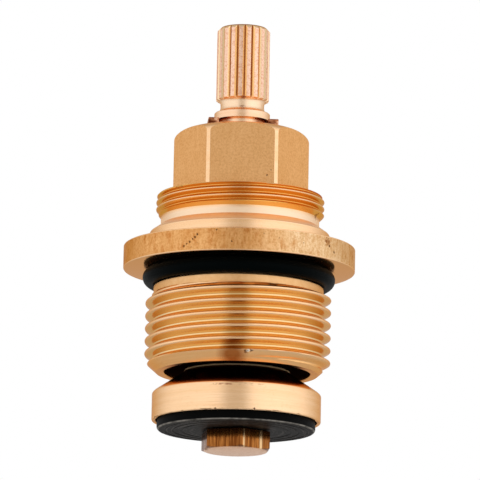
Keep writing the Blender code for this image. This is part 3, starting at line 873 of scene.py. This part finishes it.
BRASS = (0.99, 0.65, 0.385)
EDGE = (0.92, 0.60, 0.36, 1.0)
AMBER = (0.80, 0.38, 0.12)
RED_BROWN = (0.34, 0.09, 0.03)
# Black painted as shade in the bonnet's bore and on the carrier's stem and cone
SHADE_BLACK = (0.11, 0.04, 0.026)
# Pale tone for the screw's painted highlight strips
HIGHLIGHT_TONE = (0.98, 0.66, 0.34)

# Pits and nicks that the photograph shows, each as a place and a size
THREAD_PITS = (
    ((-9.17, -7.74, 10.3), 0.45), ((-8.6, -8.35, 10.45), 0.3), ((4.13, -11.27, 6.95), 0.2),
    ((11.0, -3.9, 7.35), 0.6), ((-6.15, -11.0, -9.2), 0.16), ((3.68, -12.05, -4.82), 0.14),
    ((0.49, -12.59, -4.79), 0.14), ((5.61, -11.28, -7.72), 0.15), ((-12.06, -3.65, -5.73), 0.16),
    ((1.0, -12.9, -13.8), 0.35), ((1.75, -12.9, -13.7), 0.3),
)
SMEAR = (-0.9, -12.4, -14.1)
# Painted glints beside the thread's nick, each as a place and a size
NICK_GLINTS = (((1.35, -12.95, -13.65), 0.34), ((1.9, -12.85, -13.4), 0.16))
HEX_PITS = (
    ((5.66, -8.5, 13.12), 0.34), ((3.56, -8.5, 12.35), 0.14), ((4.11, -8.5, 13.09), 0.12),
)
RIM_PITS = (
    ((-8.0, -14.43, 0.75), 0.17), ((-7.6, -14.65, 1.05), 0.13), ((-7.2, -14.84, 1.3), 0.16),
    ((-6.8, -15.03, 1.65), 0.14), ((-6.5, -15.17, 1.95), 0.19), ((-6.16, -15.31, 2.3), 0.17),
    ((-1.35, -16.45, 1.21), 0.12), ((8.77, -13.98, 1.68), 0.1), ((-3.51, -16.12, 2.85), 0.13),
    ((12.5, -10.77, 1.9), 0.22), ((13.16, -9.95, 1.2), 0.18),
)
DISC_PITS = (((2.36, -11.77, -21.62), 0.2), ((-3.13, -11.58, -21.66), 0.16))


def turned_brass(name, colour, roughness, marks=1.0):
    """Bright turned brass, with the tool's fine lines round the axis."""
    finish = Finish(name, colour, roughness, 1.0, Anisotropic=0.45, Specular_Tint=EDGE)
    tangent = finish.node("ShaderNodeTangent", direction_type="RADIAL", axis="Z")
    finish.feed(finish.shader.inputs["Tangent"], tangent.outputs["Tangent"])
    coarse = finish.noise(finish.rings(1.7, 0.7), 1.0, 3.0, 0.6)
    fine = finish.noise(finish.rings(8.0, 1.5), 1.0, 3.0, 0.65)
    grain = finish.noise(finish.place, 2.6, 4.0, 0.6)
    finish.tint(finish.ramp(coarse, 0.68, 0.32), (0.95, 0.89, 0.80))
    finish.tint(finish.ramp(grain, 0.55, 0.78, 0.0, 0.6), (0.93, 0.84, 0.72))
    finish.rough = finish.math("ADD", finish.ramp(fine, 0.3, 0.7, -0.04, 0.06), roughness)
    finish.bump(fine, 0.02 * marks, 0.25)
    finish.bump(grain, 0.012 * marks, 0.2)
    return finish


def bonnet_brass():
    """The bonnet's turned faces. Its threads hold a warmer tone between the crests, partly painted
    shade on the flanks that face up; its shoulder is painted pale as a highlight, and its bores are
    painted black as shade."""
    finish = turned_brass("bonnet_turned", BRASS, 0.20)
    facing_up = finish.ramp(finish.upward, 0.3, 0.7)
    main_groove = finish.both(
        finish.between(finish.height, MOUTH_BOTTOM + 1.3, LAND_BOTTOM - 0.4, 0.1),
        finish.ramp(finish.radius, MAIN_THREAD_RADIUS - 0.03, MAIN_THREAD_RADIUS - 0.4),
    )
    finish.tint(main_groove, (0.93, 1.06, 1.0))
    # Painted shade: darker where the groove's flanks face up
    finish.tint(finish.both(main_groove, facing_up), (0.84, 0.74, 0.62))
    finish.dull(main_groove, 0.13)
    upper_groove = finish.both(
        finish.between(finish.height, RELIEF_TOP, COLLAR_TOP - 0.05, 0.05),
        finish.ramp(finish.radius, UPPER_THREAD_RADIUS - 0.01, UPPER_THREAD_RADIUS - 0.15),
    )
    finish.tint(upper_groove, (0.92, 0.78, 0.37))
    # Painted shade: darker where the groove's flanks face up
    finish.tint(finish.both(upper_groove, facing_up), (0.74, 0.58, 0.46))
    chamfer = finish.ramp(finish.height, MOUTH_BOTTOM + 1.4, MOUTH_BOTTOM + 1.1)
    finish.tint(chamfer, (1.0, 0.90, 0.70))
    from_smear = finish.vector("DISTANCE", finish.place, SMEAR)
    finish.tint(finish.ramp(from_smear, 2.4, 0.9), (0.46, 0.27, 0.16))
    relief = finish.between(finish.height, SHOULDER_TOP, RELIEF_TOP - 0.3, 0.2)
    # Painted highlight: the shoulder's cone and relief are painted pale
    finish.stain(finish.both(relief, 0.7), (1.0, 0.80, 0.60))
    finish.dull(relief, 0.40)
    land = finish.between(finish.height, LAND_BOTTOM - 0.1, LAND_TOP + 0.3, 0.05)
    cloud = finish.noise(finish.place, 1.6, 4.0, 0.65)
    finish.tint(land, (0.86, 0.80, 0.66))
    finish.tint(finish.both(land, finish.ramp(cloud, 0.3, 0.7)), (0.90, 0.84, 0.76))
    finish.dull(land, 0.36)
    underside = finish.both(
        finish.between(finish.height, -0.1, 0.04, 0.03), finish.ramp(finish.radius, 13.5, 14.0)
    )
    finish.stain(underside, (0.92, 0.60, 0.36))
    finish.dull(underside, 0.10)
    bore = finish.ramp(finish.radius, MOUTH_RADIUS + 0.08, MOUTH_RADIUS + 0.02)
    below_hex = finish.ramp(finish.height, COLLAR_TOP - 0.5, COLLAR_TOP - 0.4, 1.0, 0.0)
    above_lip = finish.ramp(finish.height, MOUTH_BOTTOM + 0.15, MOUTH_BOTTOM + 0.35)
    # Painted shade: the bore inside the mouth is painted black
    inside = finish.both(finish.both(bore, below_hex), above_lip)
    finish.stain(inside, SHADE_BLACK)
    finish.dull(inside, 0.45)
    finish.pits(THREAD_PITS)
    # Painted highlight: pale glint spots at the nick
    for place, size in NICK_GLINTS:
        finish.stain(finish.spot(place, size), (1.0, 0.95, 0.85))
    return finish.close()


def drawn_brass(name, colour, roughness, streak, grit):
    """Brass as it is drawn to shape: matt, with a fine grit, and streaks along the axis."""
    finish = Finish(name, colour, roughness, 1.0, Specular_Tint=EDGE)
    streaks = finish.noise(finish.streaks(1.9, 0.22), 1.0, 4.0, 0.6)
    cloud = finish.noise(finish.place, 0.35, 3.0, 0.55)
    grain = finish.noise(finish.place, 3.4, 4.0, 0.8)
    finish.tint(finish.ramp(streaks, 0.32, 0.62, streak, 0.0), (0.86, 0.76, 0.62))
    finish.tint(finish.ramp(cloud, 0.4, 0.7, 0.0, 0.7), (0.95, 0.93, 0.88))
    finish.tint(finish.ramp(grain, 0.45, 0.62, 0.0, grit), (0.80, 0.70, 0.56))
    finish.rough = finish.ramp(grain, 0.25, 0.75, roughness - 0.06, roughness + 0.08)
    finish.bump(streaks, 0.04 * streak, 0.5)
    finish.bump(grain, 0.02, 0.3 * grit)
    return finish


def hex_brass():
    finish = drawn_brass("hex_drawn", (0.88, 0.51, 0.225), 0.46, 0.25, 0.75)
    finish.pits(HEX_PITS)
    return finish.close()


def rim_brass():
    """The flange's rim: golden, and paler towards +X where a highlight is painted, grooved by the die
    and pitted.
    """
    finish = drawn_brass("rim_drawn", (0.86, 0.47, 0.19), 0.34, 1.0, 1.0)
    worn = finish.noise(finish.streaks(1.1, 0.5), 1.0, 5.0, 0.7)
    finish.tint(finish.ramp(worn, 0.50, 0.66), (0.78, 0.60, 0.42))
    finish.tint(finish.ramp(worn, 0.42, 0.30), (0.90, 0.80, 0.66))
    # Painted highlight: paler towards +X
    finish.tint(finish.ramp(finish.side, 1.0, 8.0), (1.02, 1.32, 1.95))
    cells = finish.node("ShaderNodeTexVoronoi", {"Vector": finish.streaks(1.5, 0.8), "Scale": 1.0})
    patches = finish.ramp(finish.noise(finish.place, 0.5, 2.0, 0.5), 0.52, 0.6)
    finish.pit(finish.both(finish.ramp(cells.outputs["Distance"], 0.12, 0.05), patches), 0.05)
    finish.pits(RIM_PITS)
    smudge = finish.spot((12.2, -11.11, 2.4), 0.75)
    rust = finish.noise(finish.place, 2.5, 3.0, 0.6)
    finish.stain(finish.both(smudge, finish.ramp(rust, 0.4, 0.6)), (0.30, 0.12, 0.04))
    return finish.close()


def spindle_brass():
    """The spindle, with red-brown painted shade in the grooves between the pale teeth of its spline,
    and a painted highlight on their flanks.
    """
    finish = turned_brass("spindle_turned", (0.98, 0.67, 0.45), 0.24)
    spline = finish.ramp(finish.height, SPLINE_BOTTOM - 0.1, SPLINE_BOTTOM + 0.3)
    flank = finish.ramp(finish.radius, SPLINE_RADIUS - 0.05, SPLINE_RADIUS - 0.12)
    # Painted highlight: the upper flanks of the teeth are painted pale
    finish.stain(finish.both(spline, flank), (0.98, 0.74, 0.44))
    groove = finish.ramp(finish.radius, SPLINE_RADIUS - 0.24, SPLINE_RADIUS - 0.42)
    # Painted shade: red-brown deep in the grooves
    finish.stain(finish.both(spline, groove), (0.50, 0.22, 0.09))
    grain = finish.noise(finish.place, 3.6, 3.0, 0.7)
    land = finish.both(spline, finish.ramp(finish.radius, SPLINE_RADIUS - 0.1, SPLINE_RADIUS - 0.02))
    finish.stain(land, (0.96, 0.64, 0.48))
    finish.tint(finish.both(land, finish.ramp(grain, 0.50, 0.60)), (0.84, 0.68, 0.58))
    finish.dull(land, 0.34)
    necks = finish.between(finish.height, SPINDLE_COLLAR_TOP + 0.1, SPLINE_BOTTOM - 0.1, 0.1)
    # Painted highlight: the necks between spline, collar and clip are painted pale
    finish.stain(finish.both(necks, 0.6), (0.99, 0.76, 0.54))
    clip_zone = finish.ramp(finish.height, CLIP_GROOVE_TOP + 0.05, CLIP_GROOVE_TOP - 0.05)
    sides = finish.ramp(finish.math("ABSOLUTE", finish.side), 1.3, 2.2)
    # Painted shade: below the clip groove's top, darker towards the sides
    finish.tint(finish.both(clip_zone, sides), (0.45, 0.25, 0.17))
    # Painted shadow: a dark red-brown patch at the front of the spline's foot
    foot = finish.spot((0.05, -3.5, SPLINE_BOTTOM - 0.15), 0.55, (1.0, 1.0, 0.6))
    finish.stain(finish.both(foot, 0.7), RED_BROWN)
    return finish.close()


def carrier_brass():
    """The valve carrier: a bright disc with a few scratches. Its stem and cone are painted black as
    shade, going over red to amber at the cone's edge, and a band at the stem's foot is painted pale as
    a highlight."""
    finish = turned_brass("carrier_turned", (0.99, 0.67, 0.41), 0.19, 0.7)
    above_disc = finish.ramp(finish.height, DISC_TOP - 0.02, DISC_TOP + 0.1)
    # Painted shade: from the disc's edge inwards, amber, then red-brown, then black
    finish.stain(finish.both(above_disc, finish.ramp(finish.radius, 11.75, 11.35)), AMBER)
    finish.stain(finish.both(above_disc, finish.ramp(finish.radius, 11.5, 11.05)), RED_BROWN)
    finish.stain(finish.both(above_disc, finish.ramp(finish.radius, 11.2, 10.5)), SHADE_BLACK)
    # Painted highlight: a pale, rough band round the stem's foot
    stem_highlight = finish.both(
        finish.between(finish.height, STEM_BOTTOM + 0.03, STEM_BOTTOM + 0.32, 0.05),
        finish.ramp(finish.radius, STEM_RADIUS + 0.1, STEM_RADIUS + 0.05),
    )
    finish.stain(stem_highlight, (1.0, 0.74, 0.44))
    finish.dull(stem_highlight, 0.6)
    scratches = finish.noise(finish.rings(14.0, 0.9), 1.0, 2.0, 0.5)
    scratched = finish.spot((-2.9, -11.65, -20.6), 1.9, (1.0, 1.0, 0.7))
    lines = finish.both(scratched, finish.ramp(scratches, 0.56, 0.62))
    finish.tint(finish.both(lines, 0.8), (0.80, 0.66, 0.52))
    dashes = finish.noise(finish.rings(3.0, 5.0), 1.0, 3.0, 0.6)
    corner = finish.between(finish.height, DISC_TOP - 0.55, DISC_TOP - 0.3, 0.06)
    front = finish.spot((0.3, -12.0, DISC_TOP - 0.4), 4.6)
    worn = finish.both(finish.both(corner, front), finish.ramp(dashes, 0.52, 0.58))
    finish.stain(finish.both(worn, 0.75), RED_BROWN)
    chips = finish.noise(finish.rings(4.0, 9.0), 1.0, 2.0, 0.5)
    edge = finish.between(finish.height, CARRIER_BOTTOM, CARRIER_BOTTOM + 0.16, 0.05)
    finish.pit(finish.both(edge, finish.ramp(chips, 0.60, 0.64)), 0.05)
    finish.pits(DISC_PITS)
    return finish.close()


def screw_brass():
    """The washer's screw: amber sides with dark streaks and two painted highlight strips, and a paler
    end with a brown patch.
    """
    finish = Finish("screw_drawn", (0.43, 0.16, 0.036), 0.24, 1.0)
    streaks = finish.noise(finish.streaks(3.6, 0.22), 1.0, 3.0, 0.6)
    finish.tint(finish.ramp(streaks, 0.60, 0.42), (0.42, 0.32, 0.26))
    # Painted highlights: two pale strips up the sides, at fixed distances along X
    for left, right in ((1.0, 1.2), (3.35, 3.7)):
        highlight_strip = finish.between(finish.side, left, right, 0.08)
        finish.stain(finish.both(highlight_strip, 0.8), HIGHLIGHT_TONE)
    finish.rough = finish.ramp(streaks, 0.3, 0.7, 0.30, 0.18)
    finish.bump(streaks, 0.10, 0.6)
    end = finish.ramp(finish.height, SCREW_HEAD_BOTTOM + 0.14, SCREW_HEAD_BOTTOM + 0.04)
    scraped = finish.noise(finish.place, 1.8, 4.0, 0.65)
    finish.stain(end, (1.0, 0.66, 0.45))
    finish.tint(finish.both(end, finish.ramp(scraped, 0.45, 0.65)), (0.90, 0.82, 0.76))
    finish.stain(finish.both(finish.spot((-4.4, -1.5, -25.75), 0.75), 0.85), (0.36, 0.15, 0.05))
    finish.dull(end, 0.36)
    finish.bump(finish.both(end, scraped), 0.05, 0.5)
    return finish.close()


def clip_bronze():
    """Rolled bronze with cloudy stains, which painted shade darkens towards its front."""
    finish = turned_brass("clip_rolled", (0.62, 0.25, 0.12), 0.22)
    cloud = finish.noise(finish.place, 1.0, 2.0, 0.5)
    # Painted shade: the cloudy stain darkens more towards the front
    forward = finish.vector("DOT_PRODUCT", finish.place, (0.0, -1.0, 0.0))
    stain_and_shade = finish.both(finish.ramp(cloud, 0.40, 0.60), finish.ramp(forward, 0.5, 2.0, 0.35, 1.0))
    finish.tint(stain_and_shade, (0.24, 0.13, 0.09))
    finish.stain(finish.both(finish.ramp(cloud, 0.44, 0.38), 0.8), (0.90, 0.55, 0.36))
    return finish.close()


def ring_rubber():
    """Black rubber with a faint bloom of dust, stronger towards its left and right ends as a painted
    sheen.
    """
    finish = Finish("ring_rubber", (0.0004, 0.0014, 0.0016), 0.42, Specular_IOR_Level=0.02)
    cloud = finish.noise(finish.place, 1.1, 4.0, 0.65)
    grain = finish.noise(finish.place, 5.0, 3.0, 0.6)
    dust_and_sheen = finish.both(finish.ramp(cloud, 0.55, 0.72), finish.ramp(grain, 0.45, 0.6))
    # Painted sheen: the pale dust is stronger towards the ring's left and right ends
    ends = finish.ramp(finish.math("ABSOLUTE", finish.side), 11.2, 13.0)
    finish.stain(finish.both(dust_and_sheen, finish.both(ends, 0.5)), (0.05, 0.045, 0.04))
    finish.rough = finish.ramp(grain, 0.3, 0.7, 0.36, 0.52)
    finish.bump(cloud, 0.05, 0.25)
    return finish.close()


def washer_rubber():
    """Moulded rubber, dark grey below with faint circles and dust."""
    finish = Finish("moulded_rubber", (0.0012, 0.0012, 0.0012), 0.5, Specular_IOR_Level=0.035)
    circles = finish.noise(finish.rings(2.6, 0.8), 1.0, 3.0, 0.65)
    cloud = finish.noise(finish.place, 0.7, 4.0, 0.6)
    grain = finish.noise(finish.place, 4.5, 3.0, 0.6)
    below = finish.ramp(finish.height, WASHER_BOTTOM + 0.25, WASHER_BOTTOM + 0.1)
    finish.stain(finish.both(below, finish.ramp(cloud, 0.3, 0.7, 0.35, 1.0)), (0.013, 0.010, 0.008))
    worn = finish.both(finish.ramp(circles, 0.54, 0.62), finish.ramp(grain, 0.45, 0.55))
    finish.stain(finish.both(finish.both(below, worn), 0.5), (0.17, 0.155, 0.14))
    specks = finish.noise(finish.place, 3.2, 3.0, 0.7)
    finish.stain(finish.both(below, finish.ramp(specks, 0.66, 0.72)), (0.30, 0.27, 0.24))
    edge = finish.both(
        finish.between(finish.height, WASHER_BOTTOM - 0.01, WASHER_BOTTOM + 0.2, 0.04),
        finish.ramp(finish.radius, 10.9, 11.1),
    )
    finish.stain(finish.both(edge, finish.ramp(cloud, 0.35, 0.6, 0.2, 0.9)), (0.30, 0.28, 0.25))
    finish.rough = finish.ramp(grain, 0.3, 0.7, 0.42, 0.6)
    finish.bump(circles, 0.05, 0.4)
    finish.bump(grain, 0.02, 0.35)
    return finish.close()


def turned_acetal():
    finish = Finish("turned_acetal", (0.80, 0.79, 0.75), 0.4)
    rings = finish.noise(finish.rings(6.0, 1.0), 1.0, 3.0, 0.6)
    finish.tint(finish.ramp(rings, 0.3, 0.7), (0.90, 0.90, 0.90))
    finish.rough = finish.ramp(rings, 0.3, 0.7, 0.35, 0.48)
    finish.bump(rings, 0.02, 0.3)
    return finish.close()


def paint(piece, *finishes):
    piece.data.materials.clear()
    for finish in finishes:
        piece.data.materials.append(finish.material)


def bonnet_finish(face):
    """Which of the bonnet's finishes a face has: turned 0, the hex's flats 1, the flange's rim 2."""
    x, y, z = face.center / MM
    radius = math.hypot(x, y)
    if abs(face.normal.z) > 0.02:
        return 0
    if COLLAR_TOP < z < BONNET_TOP and HEX_ACROSS_FLATS / 2 - 0.1 < radius < HEX_CORNER_RADIUS - 0.06:
        return 1
    if 0.0 < z < FLANGE_TOP and radius > FLANGE_RADIUS - 0.05:
        return 2
    return 0


def carry_over(frame, finishes):
    """Gives the CAD nodes that stay in view their own finish."""
    for node, finish in finishes.items():
        piece = frame["nodes"][node]
        if not piece.material_slots:
            piece.data.materials.append(finish.material)
        for slot in piece.material_slots:
            slot.material = finish.material


def build_camera():
    azimuth = math.radians(CAMERA_AZIMUTH)
    elevation = math.radians(CAMERA_ELEVATION)
    back = Vector((
        math.sin(azimuth) * math.cos(elevation),
        -math.cos(azimuth) * math.cos(elevation),
        math.sin(elevation),
    ))
    aim = Vector(AIM) * MM
    bpy.ops.object.camera_add(location=aim + back * CAMERA_DISTANCE * MM)
    camera = bpy.context.object
    camera.rotation_euler = (-back).to_track_quat("-Z", "Y").to_euler()
    camera.rotation_euler.rotate_axis("Z", math.radians(CAMERA_ROLL))
    camera.data.sensor_width = 36.0
    camera.data.lens = CAMERA_LENS
    camera.data.clip_start = 0.05
    camera.data.clip_end = 50.0
    camera.data.dof.use_dof = False
    bpy.context.scene.camera = camera


def spread(tree, value, low, high):
    """Brings a value from between low and high to between nought and one."""
    node = tree.nodes.new("ShaderNodeMapRange")
    node.inputs["From Min"].default_value = low
    node.inputs["From Max"].default_value = high
    tree.links.new(value, node.inputs["Value"])
    return node.outputs["Result"]


def light_ramp(tree, value, stops):
    """The light at a value, from (position, light) stops, where a light is a level or a colour."""
    ramp = tree.nodes.new("ShaderNodeValToRGB")
    while len(ramp.color_ramp.elements) < len(stops):
        ramp.color_ramp.elements.new(0.5)
    for element, (position, light) in zip(ramp.color_ramp.elements, stops):
        element.position = position
    for element, (position, light) in zip(ramp.color_ramp.elements, stops):
        colour = light if isinstance(light, tuple) else (light, light, light)
        element.color = (*colour, 1.0)
    tree.links.new(value, ramp.inputs["Fac"])
    return ramp.outputs["Color"]


def multiply(tree, factor, colour):
    node = tree.nodes.new("ShaderNodeMix")
    node.data_type = "RGBA"
    node.blend_type = "MULTIPLY"
    node.inputs[0].default_value = 1.0
    tree.links.new(colour, node.inputs[6])
    tree.links.new(factor, node.inputs[7])
    return node


def build_tent():
    """A white light tent: bright walls left and right, a dim warm gap where the camera looks in that
    deepens upwards, a dimmer back, and a softer top and bottom. The camera sees plain white behind
    the headwork."""
    world = bpy.data.worlds.new("light_tent")
    bpy.context.scene.world = world
    world.use_nodes = True
    tree = world.node_tree
    tree.nodes.clear()
    direction = tree.nodes.new("ShaderNodeTexCoord")
    parts = tree.nodes.new("ShaderNodeSeparateXYZ")
    tree.links.new(direction.outputs["Generated"], parts.inputs["Vector"])
    forward = tree.nodes.new("ShaderNodeMath")
    forward.operation = "MULTIPLY"
    forward.inputs[1].default_value = -1.0
    tree.links.new(parts.outputs["Y"], forward.inputs[0])
    azimuth = tree.nodes.new("ShaderNodeMath")
    azimuth.operation = "ARCTAN2"
    tree.links.new(parts.outputs["X"], azimuth.inputs[0])
    tree.links.new(forward.outputs["Value"], azimuth.inputs[1])
    upward = parts.outputs["Z"]
    around = spread(tree, azimuth.outputs["Value"], -math.pi, math.pi)
    walls, above = (
        light_ramp(tree, around, [((degrees + 180.0) / 360.0, light) for degrees, light in lights])
        for lights in (WALLS, WALLS_ABOVE)
    )
    levels = light_ramp(
        tree, spread(tree, upward, -1.0, 1.0),
        [((math.sin(math.radians(degrees)) + 1.0) / 2.0, light) for degrees, light in LEVELS],
    )
    shade = multiply(tree, levels, walls)
    deepened = multiply(tree, above, shade.outputs[2])
    tree.links.new(spread(tree, upward, *DEEPENING), deepened.inputs[0])
    wall = tree.nodes.new("ShaderNodeBackground")
    tree.links.new(deepened.outputs[2], wall.inputs["Color"])
    plain = tree.nodes.new("ShaderNodeBackground")
    plain.inputs["Color"].default_value = (1.0, 1.0, 1.0, 1.0)
    choose = tree.nodes.new("ShaderNodeMixShader")
    path = tree.nodes.new("ShaderNodeLightPath")
    tree.links.new(path.outputs["Is Camera Ray"], choose.inputs["Fac"])
    tree.links.new(wall.outputs["Background"], choose.inputs[1])
    tree.links.new(plain.outputs["Background"], choose.inputs[2])
    output = tree.nodes.new("ShaderNodeOutputWorld")
    tree.links.new(choose.outputs["Shader"], output.inputs["Surface"])


def build_floor():
    """A pale floor far below the headwork, which hangs free. The camera sees it white."""
    bpy.ops.object.select_all(action="DESELECT")
    bpy.ops.mesh.primitive_plane_add(size=FLOOR_SIZE * MM, location=(0.0, 0.0, FLOOR_HEIGHT * MM))
    floor = bpy.context.object
    floor.name = "floor"
    material = bpy.data.materials.new("pale_floor")
    material.use_nodes = True
    tree = material.node_tree
    shader = tree.nodes["Principled BSDF"]
    shader.inputs["Base Color"].default_value = (0.72, 0.71, 0.69, 1.0)
    shader.inputs["Roughness"].default_value = 0.9
    glow = tree.nodes.new("ShaderNodeEmission")
    glow.inputs["Color"].default_value = (1.0, 1.0, 1.0, 1.0)
    choose = tree.nodes.new("ShaderNodeMixShader")
    path = tree.nodes.new("ShaderNodeLightPath")
    tree.links.new(path.outputs["Is Camera Ray"], choose.inputs["Fac"])
    tree.links.new(shader.outputs["BSDF"], choose.inputs[1])
    tree.links.new(glow.outputs["Emission"], choose.inputs[2])
    tree.links.new(choose.outputs["Shader"], tree.nodes["Material Output"].inputs["Surface"])
    floor.data.materials.append(material)


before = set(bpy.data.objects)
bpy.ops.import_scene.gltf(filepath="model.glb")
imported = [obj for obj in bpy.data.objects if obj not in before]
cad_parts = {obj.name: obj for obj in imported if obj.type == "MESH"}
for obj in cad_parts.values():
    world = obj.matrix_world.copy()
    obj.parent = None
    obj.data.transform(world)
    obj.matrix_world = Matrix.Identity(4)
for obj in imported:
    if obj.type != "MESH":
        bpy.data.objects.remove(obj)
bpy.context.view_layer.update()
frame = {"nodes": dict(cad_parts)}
bpy.context.scene.view_settings.view_transform = "Standard"

build_camera()
build_tent()
build_floor()

bonnet = build_bonnet()
spindle = build_spindle()
clip = build_clip()
flange_ring = build_flange_ring()
carrier = build_carrier()
washer = build_washer()
screw = build_screw()

ring_finish = ring_rubber()
paint(bonnet, bonnet_brass(), hex_brass(), rim_brass())
for face in bonnet.data.polygons:
    face.material_index = bonnet_finish(face)
paint(spindle, spindle_brass())
paint(clip, clip_bronze())
paint(flange_ring, ring_finish)
paint(carrier, carrier_brass())
paint(washer, washer_rubber())
paint(screw, screw_brass())

for piece, body, node, slot in (
    (bonnet, "bonnet", "bonnet", "bonnet_brass"),
    (flange_ring, "bonnet", "flange_oring", "oring_rubber"),
    (spindle, "spindle", "spindle", "spindle_brass"),
    (clip, "spindle", "retaining_clip", "clip_bronze"),
    (carrier, "valve", "valve_carrier", "carrier_brass"),
    (washer, "valve", "tap_washer", "washer_rubber"),
    (screw, "valve", "washer_screw", "screw_brass"),
):
    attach(piece, body)
    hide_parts(node)

carry_over(frame, {
    "thrust_washer": turned_acetal(),
    "spindle_oring_upper": ring_finish,
    "spindle_oring_lower": ring_finish,
    "carrier_oring": ring_finish,
})
